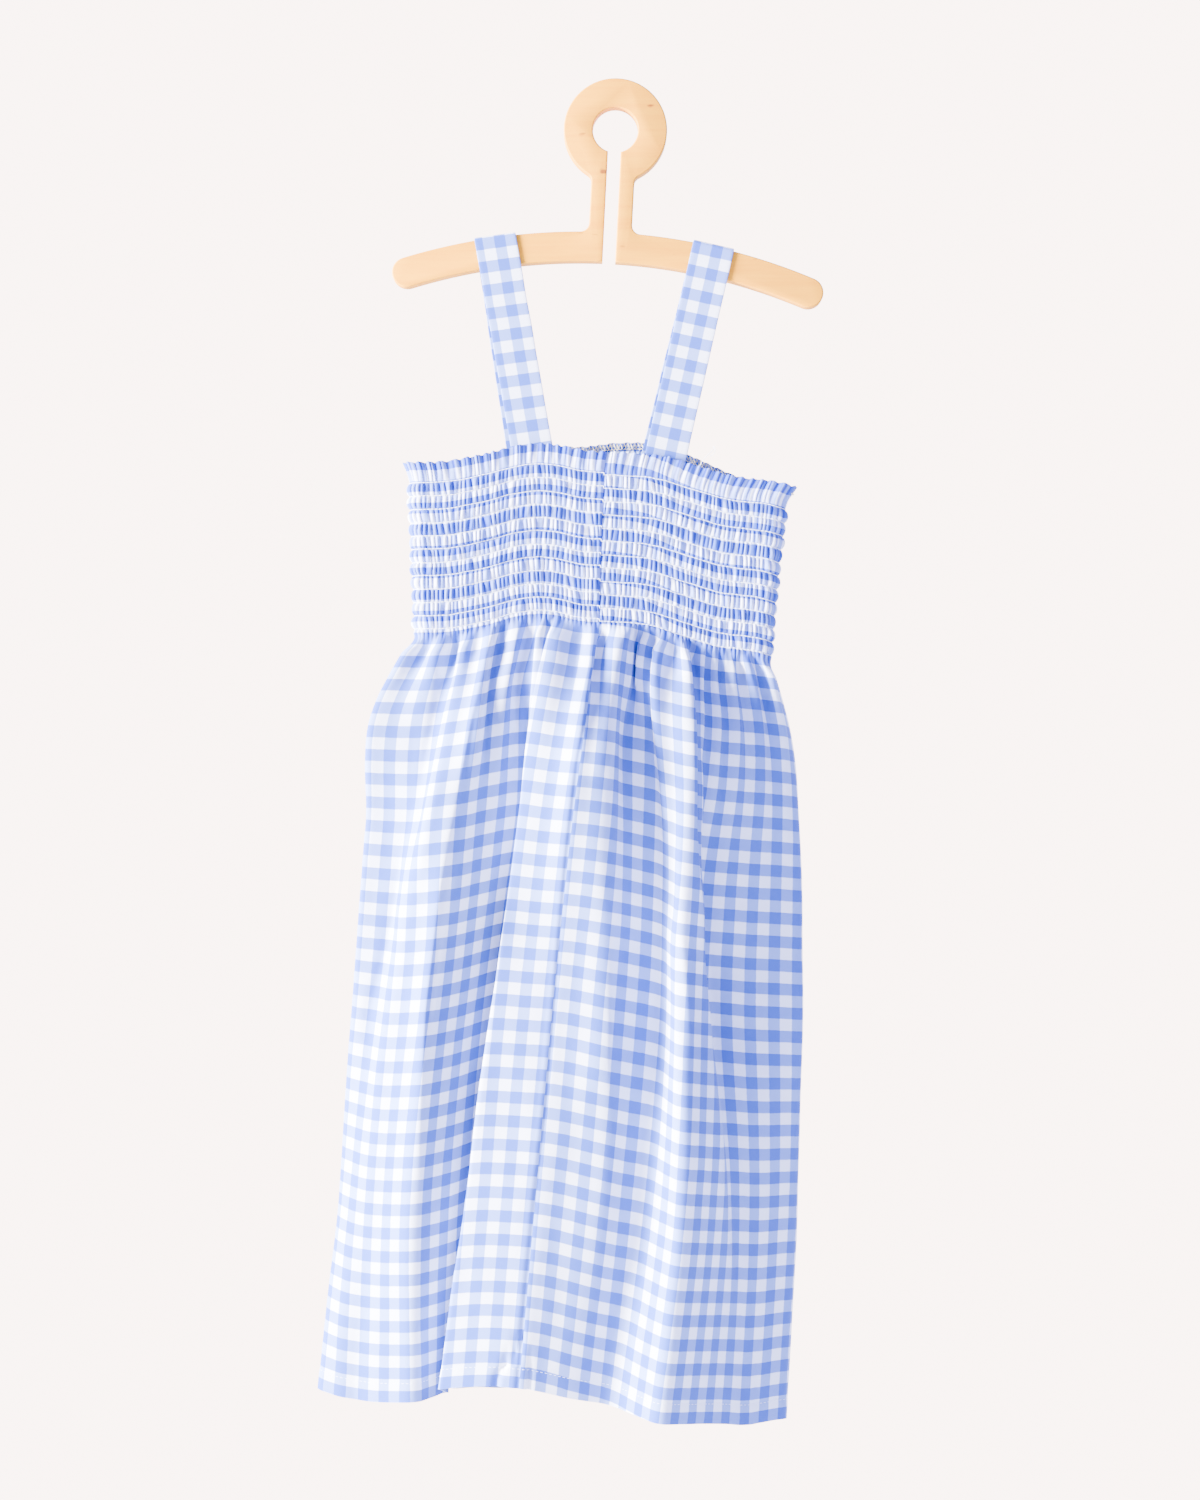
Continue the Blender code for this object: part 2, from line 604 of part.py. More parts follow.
def skirt_columns():
    """Places on the flat cloth where the front's columns stand, a few to each gather, and the back's."""
    flat = np.linspace(0.0, CLOTH_ROUND, RING_SAMPLES + 1)
    count = SKIRT_GATHERS * COLUMNS_PER_GATHER
    wanted = (np.arange(count) + 0.5) * 2 * math.pi / COLUMNS_PER_GATHER
    even = np.interp(wanted, gather_phase(flat), flat)
    even = np.concatenate((even - CLOTH_ROUND, even))
    right = FRONT_FOLDS[-1].flat[0] + RIGHT_TURN[0] / 2
    left = -LEFT_TURN[0] / 2
    walls = []
    for start, end in ((left, right), (right, left + CLOTH_ROUND)):
        between = even[(even > start + END_COLUMN) & (even < end - END_COLUMN)]
        walls.append(np.concatenate(([start + SIDE_GAP / 2], between, [end - SIDE_GAP / 2])))
    return walls


def add_wall(name, rings, material):
    """A wall open at both sides: its outer rings from the top down, then its inner ones from the hem up."""
    count = len(rings[0])
    points = [tuple(p) for ring in rings for p in ring]
    faces = []
    for r in range(len(rings)):
        here, there = r * count, (r + 1) % len(rings) * count
        for i in range(count - 1):
            faces.append((here + i, there + i, there + i + 1, here + i + 1))
    for r in range(len(rings) // 2 - 1):
        outer, inner = r * count, (len(rings) - 1 - r) * count
        for i in (0, count - 1):
            faces.append((outer + i, outer + count + i, inner - count + i, inner + i))
    add_object(name, points, faces, material, 50)


def make_skirt(material):
    """The skirt is one tube, parted at its sides into a front wall and a back wall."""
    flat = np.linspace(0.0, CLOTH_ROUND, RING_SAMPLES + 1)
    front, back = skirt_columns()
    columns = np.concatenate((front, back)) % CLOTH_ROUND
    outside, inside = [], []
    top = None
    for level in SKIRT_RINGS:
        x, y = skirt_ring(level)
        outline = np.column_stack((np.interp(columns, flat, x), np.interp(columns, flat, y)))
        inner = mitred(outline, CLOTH_WALL)
        if top is None:
            top = outline[:, 0], inner[:, 0]
        outside.append(np.column_stack((outline, skirt_heights(level, columns, top[0]))))
        inside.append(np.column_stack((inner, skirt_heights(level, columns, top[1]))))
    rings = outside + inside[::-1]
    add_wall("skirt_front", [ring[:len(front)] for ring in rings], material)
    add_wall("skirt_back", [ring[len(front):] for ring in rings], material)


def main():
    clear_scene()
    make_hanger(paint("wood"))
    strap_paint = paint("strap")
    for strap in STRAPS:
        make_strap(strap, strap_paint)
    make_bodice(paint("shirring"))
    make_skirt(paint("cloth"))


main()
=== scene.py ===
"""The looks of a child's shirred gingham sundress on its wooden hanger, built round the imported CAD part.

The cloth follows the same tables as the solid part: its wall is thin here, with fine gathers, creases, thread
and a hem. Sizes in the tables are in millimetres, in the part's own frame: the origin is the top of the
hanger's hole, +X is to the right as one looks at the front, +Y goes to the wall and +Z up.
"""

import math
from collections import namedtuple

import bpy
import numpy as np
from mathutils import Matrix, Vector


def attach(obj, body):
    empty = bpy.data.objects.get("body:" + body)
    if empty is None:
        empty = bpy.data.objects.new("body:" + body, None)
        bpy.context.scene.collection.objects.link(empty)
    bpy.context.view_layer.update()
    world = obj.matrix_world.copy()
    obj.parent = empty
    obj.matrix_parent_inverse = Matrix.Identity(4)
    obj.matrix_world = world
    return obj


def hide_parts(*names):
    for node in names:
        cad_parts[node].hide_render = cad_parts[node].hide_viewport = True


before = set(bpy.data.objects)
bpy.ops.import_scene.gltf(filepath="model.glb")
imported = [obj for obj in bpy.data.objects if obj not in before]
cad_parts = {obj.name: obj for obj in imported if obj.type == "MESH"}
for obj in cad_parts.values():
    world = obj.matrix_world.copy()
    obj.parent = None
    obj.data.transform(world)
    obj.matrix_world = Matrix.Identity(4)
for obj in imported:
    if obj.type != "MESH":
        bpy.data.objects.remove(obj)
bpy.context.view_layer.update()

MM = 0.001
SEAT = 0.3

# Hanger
HANGER_THICKNESS = 12.0
HANGER_EASING = 1.0
HANGER_TILT = math.radians(2.9)
RING_RADIUS = 35.5
HOLE_RADIUS = 15.5
SLOT_WIDTH = 8.8
NECK_WIDTH = 29.6
NECK_FILLET = 6.0
ARM_HEIGHT = 20.5
ARM_CURVE_RADIUS = 405.0
ARM_DROP = 96.0
ARM_TIP_REACH = 138.0
RING_STEPS = 48
HOLE_STEPS = 32
FILLET_STEPS = 8
ARM_STEPS = 40
TIP_STEPS = 20
EASING_STEPS = 3

# Cloth
CLOTH_WALL = 1.2  # the solid part's wall, inside which the straps are sewn
STRAP_WIDTH = 28.5
STRAP_WALL = 1.3
WALL_PLANE = 11.0
SHELL = 0.4  # the cloth's own thickness
CHECK = 8.076  # cloth across one check
CHECK_DOWN = 8.0
CHECK_SHIRRED = 7.4  # height that one check has left in the shirring
CLOTH_ROUND = 858.0
SEAM_AT = 196.4  # place of the seam on the flat cloth
SEAM_CHECK_SHIFT = 3.1
CHECKS_ROUND = 106
CHECKS_DOWN_SKIRT = 65.0
CHECK_SLIP = 0.85  # how far, in checks, the rows of checks are out of line at the seam
CHECK_SLIP_REACH = 115.0

# Bodice
FRILL = 14.0
SHIRRING_ROWS = 12
ROW_PITCH = 9.1
BODICE_TAIL = 2.4
BODICE_LENGTH = FRILL + (SHIRRING_ROWS - 1) * ROW_PITCH + BODICE_TAIL
BODICE_HALF_DEPTH = 8.4
BODICE_ROUND = 530.0
ROW_SLIP = 1.7  # how much lower the rows are right of the seam than left of it
FINE_GATHERS = 150
COLUMNS_A_GATHER = 8
PUFF_SWELL = 0.6
PUFF_HEIGHT = 2.1
BODICE_SHELL = 0.5
FRILL_WAVE = 1.7
THREAD_RADIUS = 0.27
OVERLOCK_RADIUS = 0.34
OVERLOCK_UNDER_RADIUS = 0.3
HEM_THREAD_RADIUS = 0.17
LOOSE_THREAD_RADIUS = 0.2

# Skirt
SKIRT_GATHERS = 34
RING_SAMPLES = 2400
SKIRT_LENGTH = 520.0
PUCKER_HEIGHT = 1.9
PUCKER_REACH = 4.4
GATHERED_IN = 15.0  # cloth over which the fine gathers of the waist open into the skirt's own
HEM_TURNED = 13.5
FRONT_COLUMNS = 540
BACK_COLUMNS = 300
BACK_HEM_LIFT = 8.0  # the back's hem stays hidden behind the front's where the front rises
BACK_HEM_LIFT_AT = 640.0
BACK_HEM_LIFT_REACH = 95.0

Side = namedtuple("Side", "down left right")
BODICE_SIDES = (
    Side(0.0, -145.0, 122.0),
    Side(8.0, -142.5, 117.0),
    Side(25.0, -141.5, 114.5),
    Side(60.0, -140.0, 110.0),
    Side(90.0, -139.0, 107.5),
    Side(117.0, -138.0, 105.5),
)

Edge = namedtuple("Edge", "across height")
TOP_EDGE = (
    Edge(-146.0, -244.0),
    Edge(-122.0, -243.6),
    Edge(-94.0, -239.0),
    Edge(-66.0, -232.4),
    Edge(-53.0, -231.2),
    Edge(-40.0, -232.2),
    Edge(-22.0, -236.0),
    Edge(4.0, -237.4),
    Edge(30.0, -239.5),
    Edge(55.0, -246.3),
    Edge(79.0, -253.2),
    Edge(116.0, -258.5),
    Edge(123.0, -260.5),
)

Lift = namedtuple("Lift", "across rise")
BACK_LIFT = (
    Lift(-146.0, 0.0),
    Lift(-90.0, 1.0),
    Lift(-34.0, 2.0),
    Lift(-10.0, 7.0),
    Lift(18.0, 9.5),
    Lift(48.0, 8.0),
    Lift(72.0, 4.5),
    Lift(96.0, 0.5),
    Lift(123.0, 0.0),
)

# Fold lines of the skirt: the solid part's, but with left_crest and left_hollow up to 5 mm further right and a
# shallower dip at the hem
SKIRT_LEVELS = (0.0, 0.094, 0.245, 0.40, 0.755, 1.0)
Fold = namedtuple("Fold", "name lean soft hem flat across")
FRONT_FOLDS = (
    Fold("left_side", -1, 6, -878, (0, 0, 0, 0, 0, 0), (-139, -163, -169, -176, -190, -203)),
    Fold("crease_in", -1, 8, -882, (36, 38, 31, 22, 18, 17), (-117, -127, -140, -155, -179, -188)),
    Fold("crease_out", -1, 9, -883, (55, 56, 55, 39, 26, 23), (-106, -114, -129, -146, -173, -181)),
    Fold("left_crest", 1, 9, -882, (81, 80, 79, 70, 71, 71), (-89, -95, -105, -119, -136, -137)),
    Fold("left_hollow", -1, 4, -880, (128, 132, 131, 130, 118, 103), (-53, -58, -62, -74, -100, -117)),
    Fold("lap_edge", -1, 3, -871, (155, 152, 157, 157, 148, 140), (-44, -55, -65, -76, -102, -120)),
    Fold("seam", 1, 9, -868, (196, 196, 196, 196, 196, 196), (-12, -18, -29, -38, -55, -66)),
    Fold("dip_top", 1, 9, -877, (219, 222, 225, 231, 241, 237), (2, 0, -3, -5, -11, -29)),
    Fold("dip_floor", -1, 10, -881, (242, 248, 253, 255, 259, 256), (16, 13, 15, 15, 4, -12)),
    Fold("dip_rise", -1, 9, -884, (261, 264, 268, 271, 274, 273), (25, 23, 28, 30, 19, 2)),
    Fold("right_crest", 1, 9, -889, (290, 292, 294, 300, 310, 313), (41, 40, 42, 43, 42, 28)),
    Fold("drop_edge", 1, 4, -897, (307, 308, 310, 323, 361, 375), (49, 53, 54, 59, 75, 74)),
    Fold("drop_foot", 1, 6, -899, (336, 331, 345, 357, 372, 387), (61, 58, 56, 60, 80, 84)),
    Fold("right_side", 1, 6, -899, (424, 424, 424, 424, 424, 424), (104, 118, 125, 126, 122, 114)),
)
RIGHT_TURN = (15, 15, 17, 23, 16, 13)
LEFT_TURN = (15, 16, 18, 19, 18, 18)
SIDE_SOFT = 6
FRONT_END = FRONT_FOLDS[-1].flat[0]
FRONT_STOP = FRONT_END + RIGHT_TURN[0] / 2  # half way round the right side
BACK_STOP = CLOTH_ROUND - LEFT_TURN[0] / 2

Pleat = namedtuple("Pleat", "share lean soft")
BACK_PLEATS = (
    Pleat(0.042, -1, 6),
    Pleat(0.040, 1, 6),
    Pleat(0.070, -1, 8),
    Pleat(0.075, 1, 8),
    Pleat(0.045, -1, 6),
    Pleat(0.050, 1, 7),
    Pleat(0.095, -1, 10),
    Pleat(0.090, 1, 10),
    Pleat(0.050, -1, 7),
    Pleat(0.045, 1, 6),
    Pleat(0.060, -1, 8),
    Pleat(0.065, 1, 8),
    Pleat(0.038, -1, 6),
    Pleat(0.040, 1, 6),
    Pleat(0.080, -1, 9),
    Pleat(0.075, 1, 9),
    Pleat(0.040, -1, 6),
)
BACK_HEM_RIPPLE = 1.5
GATHER_SHARE = (1.0, 0.36, 0.08, 0.0, 0.0, 0.0)
WAIST_HOLD = (1.0, 0.30, 0.04, 0.0, 0.0, 0.0)
FOLD_DEPTH = 0.86
BROAD_WINDOW = 40.0
MAX_SWING = 1.75
MAX_LEAN = 1.95
SIDE_SWING = 0.5
LEAST_SHARE = 0.05
LEAST_GATHERED = 0.4
LEAST_SINE = 0.35
SOLVER_GAIN = 0.7
SOLVER_ROUNDS = 24

# Places on the flat cloth where each of the skirt's small gathers goes in: the front's, then the back's
GATHER_HOLLOWS = (
    16, 48, 73, 97, 120, 148, 178, 201, 240, 262, 288, 318, 341, 357, 379, 402, 425,
    452, 474, 501, 523, 552, 579, 600, 627, 650, 679, 703, 724, 752, 775, 799, 822, 845,
)

# Levels at which the skirt's section is worked out; between them it is eased
SOLVED_LEVELS = (
    0.0, 0.015, 0.03, 0.045, 0.06, 0.08, 0.10, 0.125, 0.15, 0.18, 0.21, 0.245, 0.28, 0.32, 0.36, 0.40,
    0.45, 0.50, 0.56, 0.62, 0.69, 0.755, 0.82, 0.88, 0.94, 1.0,
)

# Creases of the skirt as one sees them: x and z on the plane of the hanger. depth is above zero for a trough,
# left and right are its half widths, and it fades at both ends over fade.
Crease = namedtuple("Crease", "name depth left right fade path")
FRONT_CREASES = (
    Crease("side_trough", 2.2, 5, 7, 40, (
        (-110.5, -360), (-115, -376), (-119, -396), (-125, -422), (-135, -471), (-145, -522), (-158, -583),
        (-170, -620))),
    Crease("left_crest_line", -2.0, 9, 2.2, 50, (
        (-85, -353), (-91, -381), (-101, -421), (-110, -475), (-122, -539), (-132, -621), (-135, -704))),
    Crease("shade_stroke", 2.0, 2.5, 2.5, 24, (
        (-78, -351), (-80.2, -369), (-83.7, -383), (-88.8, -400), (-90.3, -418), (-91, -438))),
    Crease("shade_stroke_next", 2.0, 2.6, 2.2, 24, (
        (-62, -350), (-63, -366), (-65, -375), (-67.8, -384), (-69.2, -403), (-70, -436))),
    Crease("fan_side", 1.2, 3, 4, 14, ((-23, -355), (-26, -375), (-29, -400))),
    Crease("seam_groove", 0.45, 1.2, 1.2, 20, (
        (-12.8, -362), (-14.9, -379.5), (-19.3, -411), (-23.5, -433.5), (-26.8, -450), (-34, -512.5),
        (-39, -569),
        (-43, -623), (-49, -691), (-56, -750), (-62.3, -813), (-68.5, -883))),
    Crease("seam_ridge", -0.4, 2.0, 2.0, 20, (
        (-16, -362), (-18.1, -379.5), (-22.5, -411), (-26.7, -433.5), (-30, -450), (-37, -512.5),
        (-42, -569),
        (-46.5, -623), (-52.5, -691), (-59.5, -750), (-66, -813), (-72, -883))),
    Crease("dart_edge", -6.4, 24, 1.8, 18, (
        (10.6, -358), (11.3, -375), (10, -389), (6, -413), (0.5, -427), (-5, -449))),
    Crease("dart_hollow", 1.8, 1.6, 5.0, 16, (
        (14.5, -360), (14.5, -375), (15, -388), (14, -405), (13, -425))),
    Crease("panel_edge", -7.0, 26, 7, 60, (
        (-6, -445), (-4, -489), (-4, -560), (-6, -640))),
    Crease("dip_fill", -7.0, 26, 20, 120, (
        (6, -600), (2, -690), (0, -740), (-10, -800), (-22, -885))),
    Crease("short_crease", 1.5, 1.6, 3.0, 10, ((22.6, -354), (24.5, -364), (26, -374))),
    Crease("faint_crease", 0.8, 2.0, 2.0, 10, ((30, -378), (32.4, -389))),
    Crease("bright_edge", -1.0, 3.0, 7.0, 50, (
        (26.4, -406), (27.1, -446), (30, -463), (40, -512), (45.7, -582), (50, -617), (60, -700),
        (66, -770))),
    Crease("broad_trough", 1.0, 9, 12, 60, (
        (19.5, -372), (16, -407), (6, -475), (0, -592), (-8, -682), (-17, -785), (-25, -864))),
    Crease("sharp_edge", -2.2, 7, 1.2, 30, (
        (43, -361), (50.5, -382), (53.2, -404), (54.9, -429), (55.7, -463), (56, -484), (58, -539),
        (63, -593),
        (66.3, -653), (72.5, -721), (78.7, -782), (83.5, -806))),
    Crease("edge_hollow", 2.6, 1.2, 4.0, 20, ((50, -366), (54.5, -385), (56.5, -403), (57.5, -420))),
    Crease("right_stroke", 1.3, 1.6, 2.0, 8, ((56.5, -362), (57, -372))),
    Crease("right_stroke_next", 1.4, 2.0, 2.2, 12, ((70, -367), (71, -380), (70.5, -392))),
    Crease("right_long", 1.5, 2.2, 2.4, 18, ((77, -368), (78, -383), (76.6, -394), (75, -412))),
    Crease("slant_stroke", 1.7, 1.8, 2.6, 16, ((92.5, -372), (95, -389), (98.7, -396), (103.5, -409))),
    Crease("slant_ridge", -1.3, 2.4, 2.0, 16, ((103, -374), (108.3, -383), (111, -389.5), (115.2, -399))),
    Crease("small_slant", 1.0, 1.6, 2.0, 8, ((111, -402), (116, -409))),
    Crease("diagonal", 1.0, 2.4, 2.4, 14, ((56.7, -439), (63, -446), (66.3, -453.5), (69, -459), (71.1,
            -470))),
    Crease("hem_pinch", 3.0, 4.0, 1.6, 10, ((-65, -848), (-74, -862), (-82, -872), (-82, -890))),
    Crease("hem_tuck", 2.4, 1.6, 2.4, 6, ((-60, -868), (-61, -882))),
    Crease("far_ripple", 0.7, 2.5, 2.5, 30, ((79, -770), (82, -810), (86, -850), (88, -890))),
    Crease("far_ripple_next", 0.8, 2.5, 2.5, 30, ((88, -750), (92, -800), (95, -850), (97, -895))),
    Crease("left_drift", 0.8, 6, 8, 60, ((-150, -640), (-160, -720), (-170, -800), (-178, -880))),
    Crease("hollow_drift", 0.7, 4, 5, 60, ((-118, -700), (-124, -780), (-130, -860))),
    Crease("panel_drift", 0.7, 7, 6, 60, ((-48, -700), (-58, -760), (-66, -830), (-70, -868))),
    Crease("panel_drift_right", 0.8, 7, 8, 60, ((20, -640), (16, -720), (6, -800), (0, -880))),
    Crease("right_panel_long", 0.9, 4, 6, 60, ((92, -470), (96, -560), (98, -650), (96, -740))),
)
# The same on the back, seen in the same frame; x is still to the right as one looks at the front
BACK_CREASES = (
    Crease("back_a", 1.6, 3, 3, 24, ((-120, -364), (-126, -390), (-133, -430), (-139, -480))),
    Crease("back_b", 1.9, 2.4, 3, 20, ((-98, -360), (-101, -385), (-108, -415))),
    Crease("back_c", -1.2, 4, 5, 50, ((-84, -358), (-90, -420), (-100, -520), (-112, -640), (-120, -760))),
    Crease("back_d", 2.1, 2.2, 3.2, 22, ((-60, -356), (-62, -380), (-66, -410), (-72, -448))),
    Crease("back_e", 1.5, 2, 2, 14, ((-38, -354), (-40, -372), (-41, -388))),
    Crease("back_f", 1.3, 6, 8, 60, ((-24, -380), (-30, -470), (-40, -590), (-52, -720), (-58, -850))),
    Crease("back_g", 2.3, 2.6, 2.2, 20, ((-8, -352), (-8, -376), (-5, -402), (-2, -430))),
    Crease("back_h", 1.2, 2, 2, 12, ((12, -352), (13, -366), (12, -380))),
    Crease("back_i", -1.4, 4, 3, 40, ((28, -356), (31, -400), (36, -470), (40, -560), (44, -650))),
    Crease("back_j", 2.0, 2.4, 3, 22, ((46, -362), (48, -384), (52, -408), (57, -440))),
    Crease("back_k", 1.4, 2, 2.4, 14, ((66, -366), (67, -384), (70, -402))),
    Crease("back_l", 1.2, 6, 7, 60, ((78, -400), (84, -500), (88, -610), (90, -740), (88, -860))),
    Crease("back_m", 1.8, 2, 3, 18, ((88, -370), (91, -390), (96, -412))),
    Crease("back_n", 0.8, 5, 6, 60, ((-150, -560), (-160, -680), (-168, -800), (-172, -880))),
    Crease("back_o", 0.8, 6, 6, 60, ((10, -520), (6, -640), (0, -760), (-6, -880))),
)

# Straps
Strap = namedtuple("Strap", "name across length front_drift back_drift")
STRAPS = (
    Strap("strap_left", -76.8, 162.0, 5.5, 1.5),
    Strap("strap_right", 69.5, 166.0, 0.0, -3.0),
)
STRAP_BEND = 1.0
STRAP_BEND_STEPS = 4
STRAP_FREE = 0.8
STRAP_AGAINST = 1.2 * ARM_HEIGHT
STRAP_FOLD_AT = 0.46  # share of its width where the strap's folded edge shows
STRAP_STITCH_AT = 0.64
STRAP_FIRST_CHECK = 5.5
STRAP_CHECK = 7.75
STITCH_LENGTH = 2.1
STITCH_PITCH = 3.1
STITCH_RADIUS = 0.27

# Camera: level, square to the wall
CAMERA_AT = (-11.4, -2000.0, -441.0)
VIEW_HEIGHT = 1032.0  # what the picture shows at the plane of the hanger
SENSOR = 36.0

rng = np.random.default_rng(11)


# Curves

def eased(places, values, at):
    """A smooth curve through the values, cubic between its places. Values may be rows of an array."""
    places = np.asarray(places, float)
    values = np.asarray(values, float)
    slopes = np.gradient(values, places, axis=0)
    at = np.asarray(at, float)
    index = np.clip(np.searchsorted(places, at, side="right") - 1, 0, len(places) - 2)
    width = places[index + 1] - places[index]
    t = np.clip((at - places[index]) / width, 0.0, 1.0)
    shape = t.shape + (1,) * (values.ndim - 1)
    t, width = t.reshape(shape), width.reshape(shape)
    start = (1 + 2 * t) * (1 - t) ** 2 * values[index] + t * (1 - t) ** 2 * width * slopes[index]
    end = t * t * (3 - 2 * t) * values[index + 1] + t * t * (t - 1) * width * slopes[index + 1]
    return start + end


def smooth_step(t):
    t = np.clip(0.5 * (t + 1.0), 0.0, 1.0)
    return t * t * (3.0 - 2.0 * t)


def column(rows, name):
    return [getattr(row, name) for row in rows]


def drift(size, count, closed=True):
    """Smooth random values from -1 to 1 at size even places, with count random knots."""
    knots = rng.uniform(-1, 1, count)
    if closed:
        knots[-1] = knots[0]
    return eased(np.arange(count), knots, np.linspace(0, count - 1, size))


def noise_field(rows, columns, down_knots, across_knots):
    """Smooth random values from -1 to 1 on a grid."""
    knots = rng.uniform(-1, 1, (down_knots, across_knots))
    knots[:, -1] = knots[:, 0]
    across = eased(np.arange(across_knots), knots.T, np.linspace(0, across_knots - 1, columns)).T
    return eased(np.arange(down_knots), across, np.linspace(0, down_knots - 1, rows))


# Meshes

def new_object(name, mesh, material, body="root"):
    mesh.materials.append(material)
    thing = bpy.data.objects.new(name, mesh)
    bpy.context.scene.collection.objects.link(thing)
    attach(thing, body)
    return thing


def make_mesh(name, points, faces, corners=None, painted_shade_mask=None, sharp_degrees=50):
    """A smooth mesh from points in millimetres; corners are its check coordinates, one pair a face corner.
    painted_shade_mask is how much painted shade each point gets.
    """
    mesh = bpy.data.meshes.new(name)
    points = np.asarray(points, np.float64) * MM
    faces = np.asarray(faces, np.int32)
    size = faces.shape[1]
    mesh.vertices.add(len(points))
    mesh.vertices.foreach_set("co", points.astype(np.float32).ravel())
    mesh.loops.add(faces.size)
    mesh.loops.foreach_set("vertex_index", faces.ravel())
    mesh.polygons.add(len(faces))
    mesh.polygons.foreach_set("loop_start", np.arange(0, faces.size, size, dtype=np.int32))
    mesh.polygons.foreach_set("loop_total", np.full(len(faces), size, np.int32))
    if corners is not None:
        layer = mesh.uv_layers.new(name="checks")
        layer.data.foreach_set("uv", np.asarray(corners, np.float32).ravel())
    if painted_shade_mask is not None:
        # Painted shade, one value a point, which the cloth's material reads
        layer = mesh.attributes.new("painted_shade_mask", "FLOAT", "POINT")
        layer.data.foreach_set("value", np.asarray(painted_shade_mask, np.float32).ravel())
    mesh.update(calc_edges=True)
    mesh.validate()
    mesh.shade_smooth()
    mesh.set_sharp_from_angle(angle=math.radians(sharp_degrees))
    return mesh


def grid_normals(grid):
    """Unit normals of a grid of points, on the side where its rows go down and its columns to the right."""
    along = np.gradient(grid, axis=1)
    down = np.gradient(grid, axis=0)
    normal = np.cross(along, down)
    return -normal / np.maximum(np.linalg.norm(normal, axis=2), 1e-9)[:, :, None]


def grid_faces(rows, columns, start=0, flip=False):
    i, j = np.meshgrid(np.arange(rows - 1), np.arange(columns - 1), indexing="ij")
    a = start + i * columns + j
    faces = np.stack((a, a + columns, a + columns + 1, a + 1), axis=-1).reshape(-1, 4)
    return faces[:, ::-1] if flip else faces


def shell(name, outer, inner, checks, painted_shade_mask, sharp_degrees=50):
    """A thin closed sheet from two grids of points of the same size, joined round their edges. Its outer side
    carries the painted shade mask; its inner side gets none.
    """
    rows, columns = outer.shape[:2]
    count = rows * columns
    index = np.arange(count).reshape(rows, columns)
    rims = []
    for line, flip in ((index[0], True), (index[-1], False), (index[:, 0], False), (index[:, -1], True)):
        rim = np.stack((line[:-1], line[1:], line[1:] + count, line[:-1] + count), axis=-1)
        rims.append(rim[:, ::-1] if not flip else rim)
    faces = np.concatenate([grid_faces(rows, columns), grid_faces(rows, columns, count, True)] + rims)
    points = np.concatenate((outer.reshape(-1, 3), inner.reshape(-1, 3)))
    both = np.concatenate((checks.reshape(-1, 2), checks.reshape(-1, 2)))
    corners = both[faces]
    # Painted shade on the outer side only; the inner side gets none
    hollow = np.concatenate((painted_shade_mask.ravel(), 0.0 * painted_shade_mask.ravel()))
    return make_mesh(name, points, faces, corners.reshape(-1, 2), hollow, sharp_degrees)


def tube(path, radius, sides=5, closed=False):
    """Points and faces of a round thread along a path."""
    path = np.asarray(path, float)
    count = len(path)
    if closed:
        ahead = np.roll(path, -1, axis=0) - np.roll(path, 1, axis=0)
    else:
        ahead = np.gradient(path, axis=0)
    ahead /= np.maximum(np.linalg.norm(ahead, axis=1), 1e-9)[:, None]
    reference = np.tile((0.0, 0.0, 1.0), (count, 1))
    steep = np.abs(ahead[:, 2]) > 0.85
    reference[steep] = (0.0, 1.0, 0.0)
    side = np.cross(ahead, reference)
    side /= np.linalg.norm(side, axis=1)[:, None]
    up = np.cross(side, ahead)
    angle = np.arange(sides) * 2 * math.pi / sides
    ring = side[:, None, :] * np.cos(angle)[None, :, None] + up[:, None, :] * np.sin(angle)[None, :, None]
    points = (path[:, None, :] + ring * radius).reshape(-1, 3)
    spans = count if closed else count - 1
    i, k = np.meshgrid(np.arange(spans), np.arange(sides), indexing="ij")
    a, b = i * sides + k, i * sides + (k + 1) % sides
    c, d = (i + 1) % count * sides + (k + 1) % sides, (i + 1) % count * sides + k
    faces = np.stack((a, b, c, d), axis=-1).reshape(-1, 4)
    return points, faces


def thread_piece(name, tubes, material):
    points, faces, start = [], [], 0
    for tube_points, tube_faces in tubes:
        points.append(tube_points)
        faces.append(tube_faces + start)
        start += len(tube_points)
    mesh = make_mesh(name, np.concatenate(points), np.concatenate(faces), sharp_degrees=80)
    return new_object(name, mesh, material)


# Materials

def nodes_of(name):
    material = bpy.data.materials.new(name)
    material.use_nodes = True
    tree = material.node_tree
    return material, tree, tree.nodes["Principled BSDF"]


def set_inputs(node, inputs):
    for key, value in inputs.items():
        node.inputs[key].default_value = value


def add_node(tree, kind, inputs=None, **values):
    node = tree.nodes.new(kind)
    set_inputs(node, inputs or {})
    for key, value in values.items():
        setattr(node, key, value)
    return node


def math_node(tree, operation, first, second=None, clamp=False):
    node = add_node(tree, "ShaderNodeMath", operation=operation, use_clamp=clamp)
    for socket, value in zip(node.inputs, (first, second)):
        if value is None:
            continue
        if isinstance(value, (int, float)):
            socket.default_value = value
        else:
            tree.links.new(value, socket)
    return node.outputs[0]


def mix_colour(tree, share, first, second):
    node = add_node(tree, "ShaderNodeMix", data_type="RGBA", clamp_factor=True)
    for socket, value in ((node.inputs[0], share), (node.inputs[6], first), (node.inputs[7], second)):
        if isinstance(value, (int, float)):
            socket.default_value = value
        elif isinstance(value, tuple):
            socket.default_value = (*value, 1.0)
        else:
            tree.links.new(value, socket)
    return node.outputs[2]


def band(tree, place, edge):
    """0 on even checks and 1 on odd ones, with a short ramp between."""
    half = math_node(tree, "MULTIPLY", place, 0.5)
    share = math_node(tree, "FRACT", half)
    centred = math_node(tree, "ABSOLUTE", math_node(tree, "SUBTRACT", share, 0.75))
    distance = math_node(tree, "SUBTRACT", 0.25, centred)
    scaled = math_node(tree, "DIVIDE", distance, edge)
    return math_node(tree, "ADD", scaled, 0.5, clamp=True)


